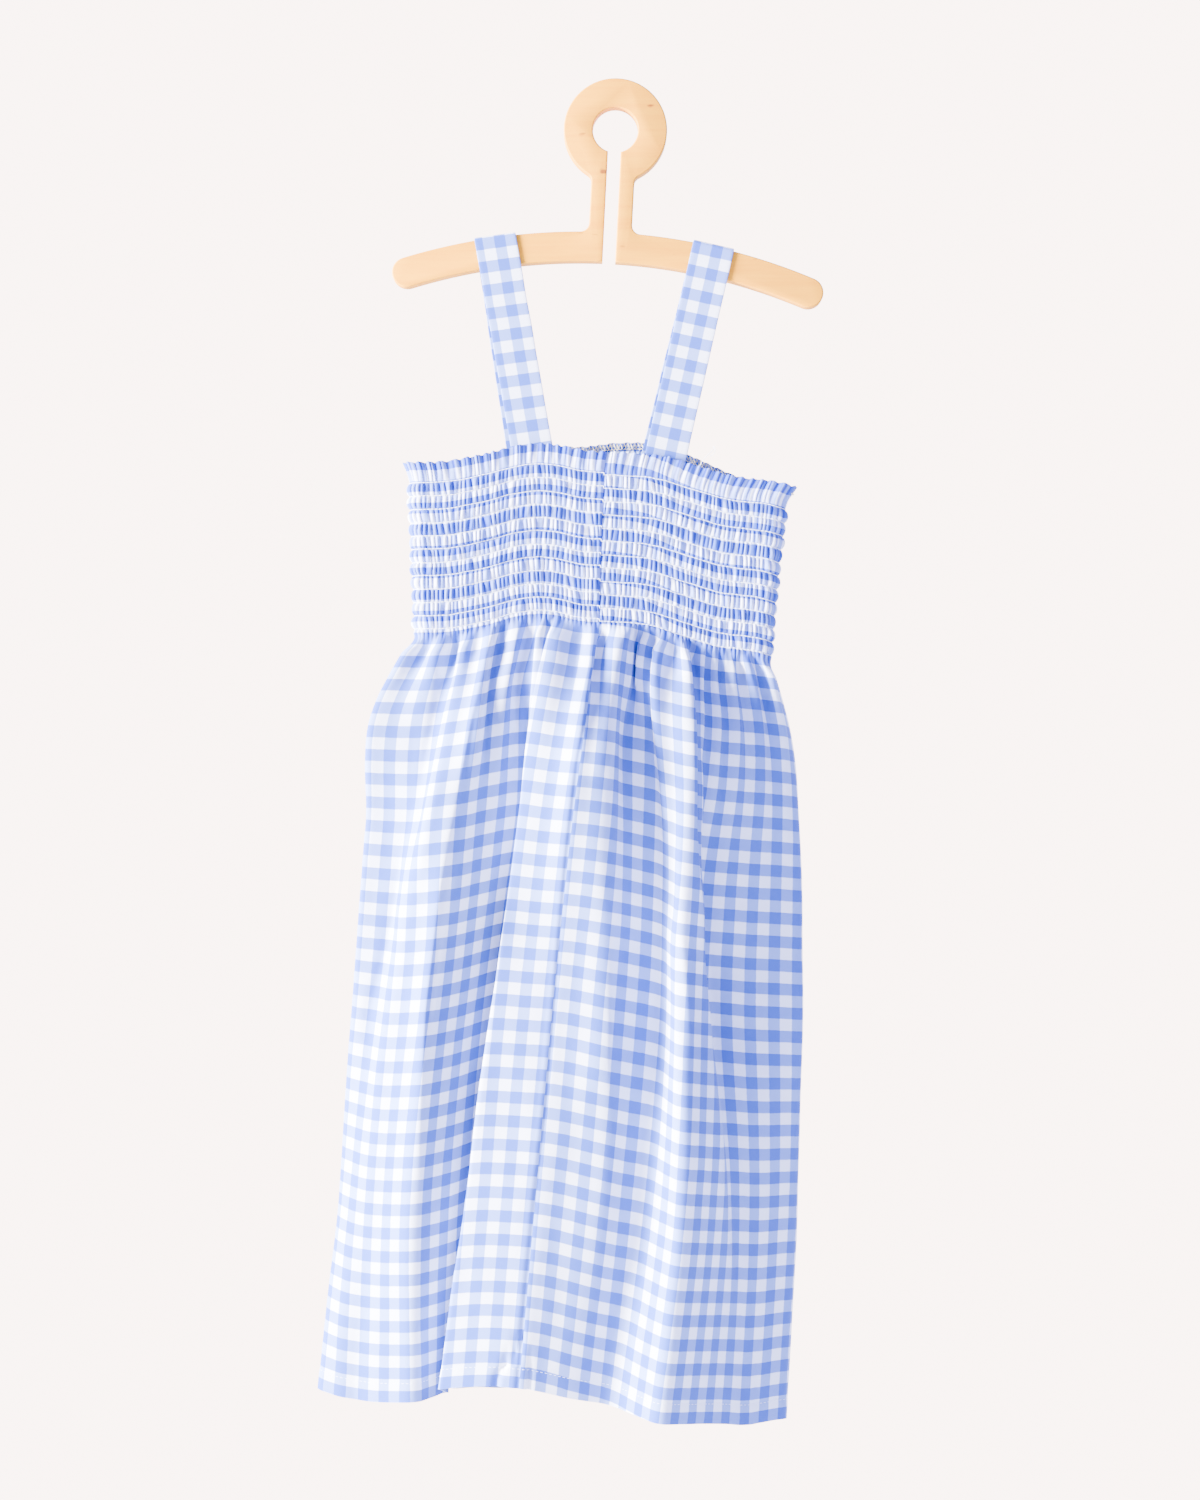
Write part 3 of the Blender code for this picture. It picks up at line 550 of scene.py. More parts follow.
WHITE = (0.86, 0.87, 0.94)
WARP_BAND = (0.24, 0.33, 0.66)
WEFT_BAND = (0.17, 0.25, 0.61)
DARK = (0.048, 0.105, 0.46)
# Painted shade: the colours the hollows of the gathers are darkened towards, on white cloth and on blue weft
PAINTED_SHADE_WHITE = (0.24, 0.28, 0.66)
PAINTED_SHADE_BLUE = (0.014, 0.030, 0.34)
WHITE_THREAD = (0.92, 0.93, 0.96)
CREAM_THREAD = (0.86, 0.74, 0.46)
WOOD_PALE, WOOD_STREAK, WOOD_WARM = (0.84, 0.35, 0.008), (0.76, 0.28, 0.005), (0.80, 0.31, 0.006)
WOOD_FLECK = (0.34, 0.10, 0.01)


def gingham(name, painted_shade_strength=0.0):
    """Checks from the cloth's own coordinates: dark where a blue warp band crosses a blue weft band. Where
    painted_shade_strength is set, painted shade darkens the hollows of the gathers.
    """
    material, tree, shader = nodes_of(name)
    checks = add_node(tree, "ShaderNodeUVMap", uv_map="checks")
    waver = add_node(tree, "ShaderNodeTexNoise", {"Scale": 2.2, "Detail": 2.0})
    tree.links.new(checks.outputs[0], waver.inputs["Vector"])
    shift = add_node(tree, "ShaderNodeVectorMath", operation="SUBTRACT")
    tree.links.new(waver.outputs["Color"], shift.inputs[0])
    shift.inputs[1].default_value = (0.5, 0.5, 0.5)
    scaled = add_node(tree, "ShaderNodeVectorMath", operation="SCALE")
    tree.links.new(shift.outputs[0], scaled.inputs[0])
    set_inputs(scaled, {"Scale": 0.06})
    moved = add_node(tree, "ShaderNodeVectorMath", operation="ADD")
    tree.links.new(checks.outputs[0], moved.inputs[0])
    tree.links.new(scaled.outputs[0], moved.inputs[1])
    parts = add_node(tree, "ShaderNodeSeparateXYZ")
    tree.links.new(moved.outputs[0], parts.inputs[0])
    warp = band(tree, parts.outputs[0], 0.035)
    weft = math_node(tree, "SUBTRACT", 1.0, band(tree, parts.outputs[1], 0.035))
    both = math_node(tree, "MULTIPLY", warp, weft)

    slub = add_node(tree, "ShaderNodeTexNoise", {"Scale": 1.0, "Detail": 3.0})
    stretch = add_node(tree, "ShaderNodeMapping", {"Scale": (6.0, 46.0, 1.0)})
    tree.links.new(checks.outputs[0], stretch.inputs["Vector"])
    tree.links.new(stretch.outputs[0], slub.inputs["Vector"])
    wear = math_node(tree, "MULTIPLY", math_node(tree, "SUBTRACT", slub.outputs["Fac"], 0.5), 0.22)
    striped = mix_colour(tree, math_node(tree, "ADD", warp, wear, clamp=True), WHITE, WARP_BAND)
    striped = mix_colour(tree, math_node(tree, "ADD", weft, wear, clamp=True), striped, WEFT_BAND)
    cloth = mix_colour(tree, both, striped, DARK)
    cloth = mix_colour(tree, math_node(tree, "MULTIPLY", wear, 0.6, clamp=True), cloth, WHITE)
    # Painted shade: the per-point mask darkens the checks towards deep blue in the hollows of the gathers
    if painted_shade_strength:
        hollow = add_node(tree, "ShaderNodeAttribute", attribute_name="painted_shade_mask")
        deep = mix_colour(tree, weft, PAINTED_SHADE_WHITE, PAINTED_SHADE_BLUE)
        share = math_node(tree, "MULTIPLY", hollow.outputs["Fac"], painted_shade_strength, clamp=True)
        cloth = mix_colour(tree, share, cloth, deep)
    tree.links.new(cloth, shader.inputs["Base Color"])
    set_inputs(shader, {
        "Roughness": 0.85, "Sheen Weight": 0.1, "Sheen Roughness": 0.5, "Specular IOR Level": 0.25})

    weave = add_node(tree, "ShaderNodeTexWave", {
        "Scale": 7.0, "Distortion": 0.6}, wave_type="BANDS", bands_direction="X")
    cross = add_node(tree, "ShaderNodeTexWave", {
        "Scale": 7.0, "Distortion": 0.6}, wave_type="BANDS", bands_direction="Y")
    tree.links.new(checks.outputs[0], weave.inputs["Vector"])
    tree.links.new(checks.outputs[0], cross.inputs["Vector"])
    height = math_node(tree, "ADD", weave.outputs["Fac"], cross.outputs["Fac"])
    height = math_node(tree, "ADD", height, math_node(tree, "MULTIPLY", slub.outputs["Fac"], 1.5))
    bump = add_node(tree, "ShaderNodeBump", {"Strength": 0.25, "Distance": 0.0002})
    tree.links.new(height, bump.inputs["Height"])
    tree.links.new(bump.outputs[0], shader.inputs["Normal"])
    return material


def thread_material(name, colour):
    material, _, shader = nodes_of(name)
    set_inputs(shader, {"Base Color": (*colour, 1.0), "Roughness": 0.7, "Sheen Weight": 0.3})
    return material


def wood_material():
    """Pale maple: fine streaks along the arms, and a few small brown flecks."""
    material, tree, shader = nodes_of("maple")
    place = add_node(tree, "ShaderNodeTexCoord")
    turned = add_node(tree, "ShaderNodeMapping", {
        "Rotation": (0.0, math.radians(8), 0.0), "Scale": (9.0, 60.0, 170.0)})
    tree.links.new(place.outputs["Object"], turned.inputs["Vector"])
    streaks = add_node(tree, "ShaderNodeTexNoise", {"Scale": 1.6, "Detail": 5.0, "Roughness": 0.6})
    tree.links.new(turned.outputs[0], streaks.inputs["Vector"])
    broad = add_node(tree, "ShaderNodeTexNoise", {"Scale": 14.0, "Detail": 2.0})
    tree.links.new(place.outputs["Object"], broad.inputs["Vector"])
    fleck_place = add_node(tree, "ShaderNodeMapping", {"Scale": (60.0, 60.0, 190.0)})
    tree.links.new(place.outputs["Object"], fleck_place.inputs["Vector"])
    flecks = add_node(tree, "ShaderNodeTexNoise", {"Scale": 1.0, "Detail": 1.0})
    tree.links.new(fleck_place.outputs[0], flecks.inputs["Vector"])
    grain = math_node(tree, "MULTIPLY", math_node(tree, "SUBTRACT", streaks.outputs["Fac"], 0.42), 3.2,
            clamp=True)
    colour = mix_colour(tree, grain, WOOD_PALE, WOOD_STREAK)
    warm = math_node(tree, "MULTIPLY", math_node(tree, "SUBTRACT", broad.outputs["Fac"], 0.5), 1.6,
            clamp=True)
    colour = mix_colour(tree, warm, colour, WOOD_WARM)
    spot = math_node(tree, "MULTIPLY", math_node(tree, "SUBTRACT", flecks.outputs["Fac"], 0.73), 16.0,
            clamp=True)
    colour = mix_colour(tree, spot, colour, WOOD_FLECK)
    tree.links.new(colour, shader.inputs["Base Color"])
    set_inputs(shader, {"Roughness": 0.5, "Specular IOR Level": 0.25})
    bump = add_node(tree, "ShaderNodeBump", {"Strength": 0.12, "Distance": 0.0004})
    tree.links.new(streaks.outputs["Fac"], bump.inputs["Height"])
    tree.links.new(bump.outputs[0], shader.inputs["Normal"])
    return material


# Hanger

def arc(centre, radius, start, end, steps):
    angles = np.linspace(start, end, steps + 1)
    return [(centre[0] + radius * math.cos(a), centre[1] + radius * math.sin(a)) for a in angles]


def arm_centre():
    return (0.0, -ARM_DROP - ARM_CURVE_RADIUS)


def hanger_half():
    """The right half of the outline, from the top of the ring round the arm to the top of the hole."""
    ring = (0.0, -HOLE_RADIUS)
    arm = arm_centre()
    neck = NECK_WIDTH / 2
    top_radius = ARM_CURVE_RADIUS + ARM_HEIGHT / 2
    low_radius = ARM_CURVE_RADIUS - ARM_HEIGHT / 2
    fillet_x = neck + NECK_FILLET
    upper = (fillet_x, ring[1] - math.sqrt((RING_RADIUS + NECK_FILLET) ** 2 - fillet_x ** 2))
    to_ring = math.atan2(ring[1] - upper[1], ring[0] - upper[0])
    lower = (fillet_x, arm[1] + math.sqrt((top_radius + NECK_FILLET) ** 2 - fillet_x ** 2))
    to_arm = math.atan2(arm[1] - lower[1], arm[0] - lower[0])
    tip_angle = math.pi / 2 - math.asin(ARM_TIP_REACH / ARM_CURVE_RADIUS)
    tip = (ARM_CURVE_RADIUS * math.cos(tip_angle), arm[1] + ARM_CURVE_RADIUS * math.sin(tip_angle))
    slot = SLOT_WIDTH / 2
    slot_angle = math.acos(slot / low_radius)
    mouth = -math.acos(slot / HOLE_RADIUS)
    points = arc(ring, RING_RADIUS, math.pi / 2, to_ring - math.pi, RING_STEPS)
    points += arc(upper, NECK_FILLET, to_ring, math.pi, FILLET_STEPS)[1:]
    points += arc(lower, NECK_FILLET, math.pi, to_arm + 2 * math.pi, FILLET_STEPS)
    points += arc(arm, top_radius, to_arm + math.pi, tip_angle, ARM_STEPS)[1:]
    points += arc(tip, ARM_HEIGHT / 2, tip_angle, tip_angle - math.pi, TIP_STEPS)[1:]
    points += arc(arm, low_radius, tip_angle, slot_angle, ARM_STEPS)[1:]
    points += arc(ring, HOLE_RADIUS, mouth, math.pi / 2, HOLE_STEPS)
    return points


def mitred(outline, distance):
    """The closed outline moved sideways: to its left where distance is above zero."""
    here = np.asarray(outline, float)
    ahead = np.roll(here, -1, axis=0) - here
    ahead /= np.linalg.norm(ahead, axis=1)[:, None]
    behind = np.roll(ahead, 1, axis=0)
    left = np.column_stack((-ahead[:, 1] - behind[:, 1], ahead[:, 0] + behind[:, 0]))
    left /= np.linalg.norm(left, axis=1)[:, None]
    spread = np.maximum(left[:, 0] * -ahead[:, 1] + left[:, 1] * ahead[:, 0], 0.5)
    return here + left * (distance / spread)[:, None]


def make_hanger(material):
    half = hanger_half()
    outline = np.array(half[:-1] + [(-x, z) for x, z in reversed(half[1:])])
    outline = outline[np.linalg.norm(outline - np.roll(outline, 1, axis=0), axis=1) > 1e-4]
    front = HANGER_THICKNESS / 2
    loops = []
    for step in range(EASING_STEPS + 1):
        turn = step * math.pi / 2 / EASING_STEPS
        loops.append((HANGER_EASING * (1 - math.sin(turn)), -front + HANGER_EASING * (1 - math.cos(turn))))
    loops += [(inset, -depth) for inset, depth in reversed(loops)]
    tilt = Matrix.Rotation(HANGER_TILT, 3, "Y")
    points = []
    for inset, depth in loops:
        for x, z in mitred(outline, -inset) if inset else outline:
            points.append(tuple((tilt @ Vector((x, depth, z))) * MM))
    count = len(outline)
    faces = []
    for row in range(len(loops) - 1):
        here, there = row * count, (row + 1) * count
        for i in range(count):
            j = (i + 1) % count
            faces.append((here + i, here + j, there + j, there + i))
    faces.append(tuple(reversed(range(count))))
    faces.append(tuple(range((len(loops) - 1) * count, len(loops) * count)))
    mesh = bpy.data.meshes.new("hanger_board")
    mesh.from_pydata(points, [], faces)
    mesh.update()
    mesh.shade_smooth()
    mesh.set_sharp_from_angle(angle=math.radians(38))
    board = new_object("hanger_board", mesh, material)
    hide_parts("hanger")
    return board


# Bodice

def bodice_side(down, name):
    return eased(column(BODICE_SIDES, "down"), column(BODICE_SIDES, name), down)


def top_edge(share, back):
    """Height of the top edge at a share of the way from the left side to the right; back is 0 to 1."""
    left, right = TOP_EDGE[0].across, TOP_EDGE[-1].across
    across = left + np.clip(share, 0.0, 1.0) * (right - left)
    height = eased(column(TOP_EDGE, "across"), column(TOP_EDGE, "height"), across)
    lift = eased(column(BACK_LIFT, "across"), column(BACK_LIFT, "rise"), across)
    return height + lift * back


def loop_places(down, turn):
    """Points and outward normals of the flat loop at depths down, at shares turn of the way round.

    Share 0 is the middle of the left side; the front comes first.
    """
    left, right = bodice_side(down, "left"), bodice_side(down, "right")
    radius = BODICE_HALF_DEPTH
    straight = right - left - 2 * radius
    bend = math.pi * radius
    run = turn * 2 * (straight + bend)
    left_end = run < bend / 2
    front = ~left_end & (run < bend / 2 + straight)
    right_end = ~left_end & ~front & (run < 1.5 * bend + straight)
    back = ~left_end & ~front & ~right_end & (run < 1.5 * bend + 2 * straight)
    rest = ~left_end & ~front & ~right_end & ~back
    angle = np.zeros_like(run)
    angle[left_end] = math.pi + run[left_end] / radius
    angle[rest] = math.pi / 2 + (run - 1.5 * bend - 2 * straight)[rest] / radius
    angle[right_end] = -math.pi / 2 + (run - bend / 2 - straight)[right_end] / radius
    x = np.where(right_end, right - radius, left + radius) + radius * np.cos(angle)
    y = radius * np.sin(angle)
    normal = np.stack((np.cos(angle), np.sin(angle)), axis=-1)
    x = np.where(front, left + radius + run - bend / 2, x)
    x = np.where(back, right - radius - (run - 1.5 * bend - straight), x)
    y = np.where(front, -radius, np.where(back, radius, y))
    normal[front] = (0.0, -1.0)
    normal[back] = (0.0, 1.0)
    share = (x - left) / (right - left)
    return x, y, normal, share


def waist_turn(flat):
    radius = BODICE_HALF_DEPTH
    left, right = float(bodice_side(BODICE_LENGTH, "left")), float(bodice_side(BODICE_LENGTH, "right"))
    bend = math.pi * radius
    total = 2 * (right - left - 2 * radius + bend)
    inner = [f for f in FRONT_FOLDS if 30 < f.flat[0] < 340]
    places = [-LEFT_TURN[0] / 2] + [f.flat[0] for f in inner]
    turns = [0.0] + [(bend / 2 + f.across[0] - left - radius) / total for f in inner]
    places += [FRONT_STOP, BACK_STOP]
    turns += [0.5, 1.0]
    flat = np.asarray(flat, float)
    wrapped = np.where(flat > places[-1], flat - CLOTH_ROUND, flat)
    return np.interp(wrapped, places, turns)


def flat_at(turns):
    """The places on the flat cloth at shares of the way round the waist."""
    sample = np.linspace(-LEFT_TURN[0] / 2, BACK_STOP, 6001)
    return np.interp(turns, waist_turn(sample), sample)


def row_slip(flat):
    """How far the shirring rows sit below their mean place: they drop at the seam and rise round the back."""
    behind = np.clip((flat - FRONT_END) / (CLOTH_ROUND - FRONT_END), 0.0, 1.0)
    return np.where(flat < SEAM_AT, 0.0, ROW_SLIP * (1.0 - behind * behind * (3 - 2 * behind)))


def check_shift(flat):
    """How far the weft checks right of the seam are out of line with those left of it."""
    t = np.clip((flat - SEAM_AT) / CHECK_SLIP_REACH, 0.0, 1.0)
    return np.where(flat < SEAM_AT, 0.0, CHECK_SLIP * (1 - t) ** 2 * (1 + 2 * t))


# Uneven gathers: one set of values for each stretch between rows of shirring, round the whole bodice
GATHER_SAMPLES = 1200
STRETCHES = SHIRRING_ROWS + 1
spread = drift(GATHER_SAMPLES + 1, 40) * 1.6
gather_slips = [drift(GATHER_SAMPLES + 1, 90) * 2.4 + rng.uniform(-math.pi,
        math.pi) for _ in range(STRETCHES)]
gather_slants = [drift(GATHER_SAMPLES + 1, 70) * 2.2 for _ in range(STRETCHES)]
gather_sizes = [0.84 + 0.36 * drift(GATHER_SAMPLES + 1, 170) for _ in range(STRETCHES)]
round_turns = np.linspace(0.0, 1.0, GATHER_SAMPLES + 1)


def gather_height(turn, stretch, t):
    """Height from 0 to 1 of the fine gathers, and how deep in a hollow each point is, which sets the painted
    shade there.
    """
    slip = np.interp(turn, round_turns, gather_slips[stretch])
    slant = np.interp(turn, round_turns, gather_slants[stretch])
    size = np.interp(turn, round_turns, gather_sizes[stretch])
    phase = 2 * math.pi * FINE_GATHERS * turn + slip + slant * (t - 0.5)
    lobe = np.abs(np.cos(phase / 2))
    return lobe ** 0.6 * size, np.clip(1.45 - lobe * 1.9, 0.0, 1.0)


def frill_wave(turn):
    """Height from 0 to 1 of the frill's waves, one to two of the fine gathers."""
    return 0.5 + 0.5 * np.cos(2 * math.pi * FINE_GATHERS / 2 * turn + np.interp(turn, round_turns,
            spread) * 1.4)


def moved_out(x, y, normal, out, height):
    """Points of the loop moved out along its normals."""
    return np.stack((x + normal[:, 0] * out, y + normal[:, 1] * out, height), axis=-1)


def bodice_rows():
    """Every ring of the bodice: its distance down, its stretch and the share of that stretch it is at."""
    rows = []
    for t in (0.0, 0.12, 0.28, 0.46, 0.64, 0.80, 0.92):
        rows.append((FRILL * t, 0, t))
    for stretch in range(1, SHIRRING_ROWS):
        start = FRILL + (stretch - 1) * ROW_PITCH
        for t in (0.0, 0.12, 0.30, 0.50, 0.70, 0.88):
            rows.append((start + t * ROW_PITCH, stretch, t))
    start = FRILL + (SHIRRING_ROWS - 1) * ROW_PITCH
    for t in (0.0, 0.5, 1.0):
        rows.append((start + t * BODICE_TAIL, SHIRRING_ROWS, t))
    return rows


def bodice_grid(flat):
    """Outer and inner points of the bodice, its checks' rows and the painted shade of its hollows, at places
    on the flat cloth.
    """
    turn = waist_turn(flat)
    slip = row_slip(flat)
    seam_distance = (turn - float(waist_turn(SEAM_AT))) * BODICE_ROUND
    outer, inner, checks, painted_shades = [], [], [], []
    for down, stretch, t in bodice_rows():
        ridge, hollow = gather_height(turn, stretch, t)
        x, y, normal, share = loop_places(down, turn)
        back = np.clip(y / BODICE_HALF_DEPTH, 0.0, 1.0)
        if stretch == 0:
            opening = 1.0 - t
            wave = frill_wave(turn)
            out = 0.3 + min(1.0, 0.25 + 6 * (1 - t)) * (ridge * (0.7 + 0.5 * opening))
            out = out + opening * FRILL_WAVE * wave
            # Painted shade: deeper in the frill's open hollows
            hollow = np.clip(hollow * (1 + 0.3 * opening), 0.0, 1.0)
            scallop = opening ** 3 * (0.9 * wave + 0.5 * ridge - 0.7)
            drop = down + slip * t
        elif stretch == SHIRRING_ROWS:
            out = 0.25 + ridge * PUCKER_HEIGHT * min(1.0, 0.2 + t)
            scallop = 0.0
            drop = down + slip * (1.0 - t)
        else:
            rise = math.sin(math.pi * min(max(t, 0.0), 1.0)) if t else 0.0
            out = 0.12 + rise * PUFF_SWELL + (0.12 + rise ** 0.45) * ridge * PUFF_HEIGHT
            if not t:
                out = 0.12 + 0.25 * ridge
            scallop = 0.0
            drop = down + slip
        groove = np.exp(-(seam_distance / 0.9) ** 2)
        lips = np.exp(-((np.abs(seam_distance) - 2.0) / 0.9) ** 2)
        out = out * (1 - 0.8 * groove) + 0.25 * lips - 0.3 * groove
        height = top_edge(share, back) - drop + scallop
        outer.append(moved_out(x, y, normal, out, height))
        under = out - BODICE_SHELL
        inner.append(moved_out(x, y, normal, under, height))
        checks.append(np.full(len(flat), (down - BODICE_LENGTH) / CHECK_SHIRRED) + check_shift(flat))
        # Painted shade: weaker on the line of a shirring row itself, and a painted shade line along the seam's
        # groove
        at_row = 0.35 if (t == 0.0 and stretch) else 1.0
        painted_shades.append(np.maximum(hollow * at_row, 0.6 * groove))
    return np.array(outer), np.array(inner), np.array(checks), np.array(painted_shades)


def warp_checks(flat):
    """Check coordinate across the cloth, counted from the seam to the right, all the way round."""
    gap = np.where(flat < SEAM_AT - 1e-6, CLOTH_ROUND - CHECKS_ROUND * CHECK, 0.0)
    return (flat - SEAM_AT + gap - SEAM_CHECK_SHIFT) / CHECK


def split_at_seam(flat):
    """Places on the flat cloth with the seam's own place doubled, so that the checks may jump there."""
    left = flat[flat < SEAM_AT - 0.2]
    right = flat[flat > SEAM_AT + 0.2]
    return np.concatenate((left, [SEAM_AT - 1e-5, SEAM_AT], right))


def make_bodice(material):
    """Two halves, front and back, so that neither piece grows large."""
    total = FINE_GATHERS * COLUMNS_A_GATHER
    flat = flat_at(np.arange(total + 1) / total)
    halves = []
    for name, part in (("bodice_front", flat[:total // 2 + 1]), ("bodice_back", flat[total // 2:])):
        places = split_at_seam(part) if name == "bodice_front" else part
        outer, inner, down, hollow = bodice_grid(places)
        across = np.broadcast_to(warp_checks(places), down.shape)
        mesh = shell(name, outer, inner, np.stack((across, down), axis=-1), hollow, 75)
        piece = new_object(name, mesh, material)
        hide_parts("bodice")
        halves.append(piece)
    return halves


def row_thread(row):
    """The line of top thread along one row of shirring, dipping into the cloth at each stitch."""
    turns = np.linspace(0.0, 1.0, FINE_GATHERS * 7 + 1)[:-1]
    flat = flat_at(turns)
    down = FRILL + row * ROW_PITCH
    x, y, normal, share = loop_places(down, turns)
    back = np.clip(y / BODICE_HALF_DEPTH, 0.0, 1.0)
    ridge, _ = gather_height(turns, row + 1, 0.0)
    stitch = np.abs(np.sin(math.pi * turns * BODICE_ROUND / 2.7))
    out = 0.45 + 0.30 * ridge + 0.35 * stitch
    limit = BODICE_LENGTH - 0.6
    height = top_edge(share, back) - np.minimum(down + row_slip(flat), limit)
    height = height + 0.18 * np.interp(turns, round_turns, gather_slips[row]) * 0.5
    return moved_out(x, y, normal, out, height)


def make_threads(white, cream):
    rows = [tube(row_thread(row), THREAD_RADIUS, sides=4, closed=True) for row in range(SHIRRING_ROWS)]
    threads = thread_piece("shirring_thread", rows, white)

    count = 230
    turns = np.linspace(0.0, 1.0, 4 * count + 1)[:-1]
    phase = (np.arange(4 * count) % 4) / 4.0
    zig = np.abs(2 * phase - 1)
    x, y, normal, share = loop_places(0.5, turns)
    back = np.clip(y / BODICE_HALF_DEPTH, 0.0, 1.0)
    wave = frill_wave(turns)
    down = 0.3 + 4.0 * zig
    out = -1.05 + (1 - down / FRILL) * FRILL_WAVE * wave
    height = top_edge(share, back) - down + 0.9 * (wave - 0.5) + drift(4 * count, 160) * 0.35
    path = moved_out(x, y, normal, out, height)
    lower = 4.6 + 0.5 * np.sin(np.arange(4 * count) * 1.7)
    under = moved_out(x, y, normal, out - 0.1, top_edge(share, back) - lower)
    overlock = thread_piece(
        "overlock_thread", [tube(path, OVERLOCK_RADIUS, sides=4, closed=True), tube(under,
                OVERLOCK_UNDER_RADIUS, sides=4, closed=True)], cream)
    return threads, overlock


# Skirt

def gather_phase(flat):
    """The phase of the small gathers along the flat cloth; each goes in where the table says."""
    places = np.array([h - CLOTH_ROUND for h in GATHER_HOLLOWS[-3:]] + list(GATHER_HOLLOWS)
                      + [h + CLOTH_ROUND for h in GATHER_HOLLOWS[:3]])
    turns = np.arange(-3, len(GATHER_HOLLOWS) + 3) * 2 * math.pi + math.pi
    return eased(places, turns, flat)


def shrink_curve():
    swings = np.linspace(0.0, 2.0, 81)
    around = np.linspace(0.0, 2 * math.pi, 180, endpoint=False)
    left = np.cos(swings[:, None] * np.sin(around)[None, :]).mean(axis=1)
    return swings, left


def level_nodes(level):
    """Every fold line at one level: place on the flat cloth, place across, heading's base and lean."""
    flat = [float(eased(SKIRT_LEVELS, f.flat, level)) for f in FRONT_FOLDS]
    across = [float(eased(SKIRT_LEVELS, f.across, level)) for f in FRONT_FOLDS]
    soft = [f.soft for f in FRONT_FOLDS]
    hem = [f.hem for f in FRONT_FOLDS]
    lean = [f.lean for f in FRONT_FOLDS]
    base = [0.0] * (len(FRONT_FOLDS) - 1) + [math.pi / 2]
    right_turn = float(eased(SKIRT_LEVELS, RIGHT_TURN, level))
    left_turn = float(eased(SKIRT_LEVELS, LEFT_TURN, level))
    back_start = flat[-1] + right_turn
    back_cloth = CLOTH_ROUND - left_turn - back_start
    start, end = across[-1], across[0]
    done = 0.0
    for pleat in BACK_PLEATS:
        flat.append(back_start + done * back_cloth)
        across.append(start + (end - start) * done)
        hem.append(FRONT_FOLDS[-1].hem + (FRONT_FOLDS[0].hem - FRONT_FOLDS[-1].hem) * done
                   + pleat.lean * BACK_HEM_RIPPLE)
        soft.append(pleat.soft)
        lean.append(pleat.lean)
        base.append(math.pi)
        done += pleat.share
    flat.append(CLOTH_ROUND - left_turn)
    across.append(end)
    hem.append(FRONT_FOLDS[0].hem)
    soft.append(SIDE_SOFT)
    lean.append(1)
    base.append(3 * math.pi / 2)
    return [np.array(values, float) for values in (flat, across, soft, hem, lean, base)]


def stepped(flat, places, values, soft, closing):
    """A value constant between fold lines that turns smoothly at each; closing is its gain in one round."""
    result = np.full(len(flat), values[-1] - closing)
    jumps = np.diff(np.concatenate(([values[-1] - closing], values)))
    for place, jump, width in zip(places, jumps, soft):
        result += jump * smooth_step((flat - place) / width)
    result += (values[0] + closing - values[-1]) * smooth_step((flat - CLOTH_ROUND) / soft[0])
    return result


def around_mean(values):
    """The running mean round a closed ring, over BROAD_WINDOW of its cloth."""
    reach = int(0.5 * BROAD_WINDOW / CLOTH_ROUND * RING_SAMPLES)
    ring = values[:-1]
    padded = np.concatenate((ring[-reach:], ring, ring[:reach + 1]))
    total = np.concatenate(([0.0], np.cumsum(padded)))
    width = 2 * reach + 1
    mean = (total[width:] - total[:-width]) / width
    return mean[:len(values)]


def skirt_ring(level):
    """The skirt's section at one level, solved as in the solid part so that no cloth stretches."""
    places, across, soft, _, lean, base = level_nodes(level)
    flat = np.linspace(0.0, CLOTH_ROUND, RING_SAMPLES + 1)
    step = CLOTH_ROUND / RING_SAMPLES
    lengths = np.diff(np.append(places, CLOTH_ROUND))
    spans = np.diff(np.append(across, across[0]))
    is_side = np.isin(base, (math.pi / 2, 3 * math.pi / 2))
    direction = np.where(base == 0.0, 1.0, -1.0)
    ratio = np.clip(np.abs(spans) / lengths, LEAST_SHARE, 1.0)
    gather = float(eased(SKIRT_LEVELS, GATHER_SHARE, level))
    swings, left = shrink_curve()
    swing = np.interp(-np.maximum(ratio, LEAST_GATHERED) ** gather, -left, swings)
    swing = np.where(is_side, SIDE_SWING * gather, swing)
    wave = np.sin(gather_phase(flat))
    angle = np.arccos(ratio ** (1.0 - gather))
    for _ in range(SOLVER_ROUNDS):
        heading = base + np.where(is_side, 0.0, direction * lean * angle)
        turned = stepped(flat, places, heading, soft, 2 * math.pi)
        turned += stepped(flat, places, swing, soft, 0.0) * wave
        middle = 0.5 * (turned[1:] + turned[:-1])
        x = across[0] + np.concatenate(([0.0], np.cumsum(np.cos(middle)))) * step
        found = np.interp(np.append(places, CLOTH_ROUND), flat, x)
        excess = SOLVER_GAIN * (np.diff(found) - spans) * direction / lengths
        angle = np.clip(angle + (1 - gather) * excess / np.maximum(np.sin(angle), LEAST_SINE), 0.0,
                MAX_LEAN)
        swing = np.where(is_side, swing, np.clip(swing + gather * excess, 0.0, MAX_SWING))
    y = np.concatenate(([0.0], np.cumsum(np.sin(middle)))) * step
    missing = np.append(across, across[0]) - found
    x += np.interp(flat, np.append(places, CLOTH_ROUND), missing)
    turn_start = places[len(FRONT_FOLDS)]
    y -= y[-1] * np.clip((flat - turn_start) / (CLOTH_ROUND - turn_start), 0.0, 1.0)
    y *= FOLD_DEPTH
    to_back = smooth_step((flat - turn_start + RIGHT_TURN[0] / 2) / RIGHT_TURN[0])
    to_front = smooth_step((flat - CLOTH_ROUND + LEFT_TURN[0] / 2) / LEFT_TURN[0])
    flat_tube = BODICE_HALF_DEPTH * (2 * (to_back - to_front) - 1)
    hold = float(eased(SKIRT_LEVELS, WAIST_HOLD, level))
    y -= hold * around_mean(y - flat_tube)
    y += WALL_PLANE - y.max()
    return x, y


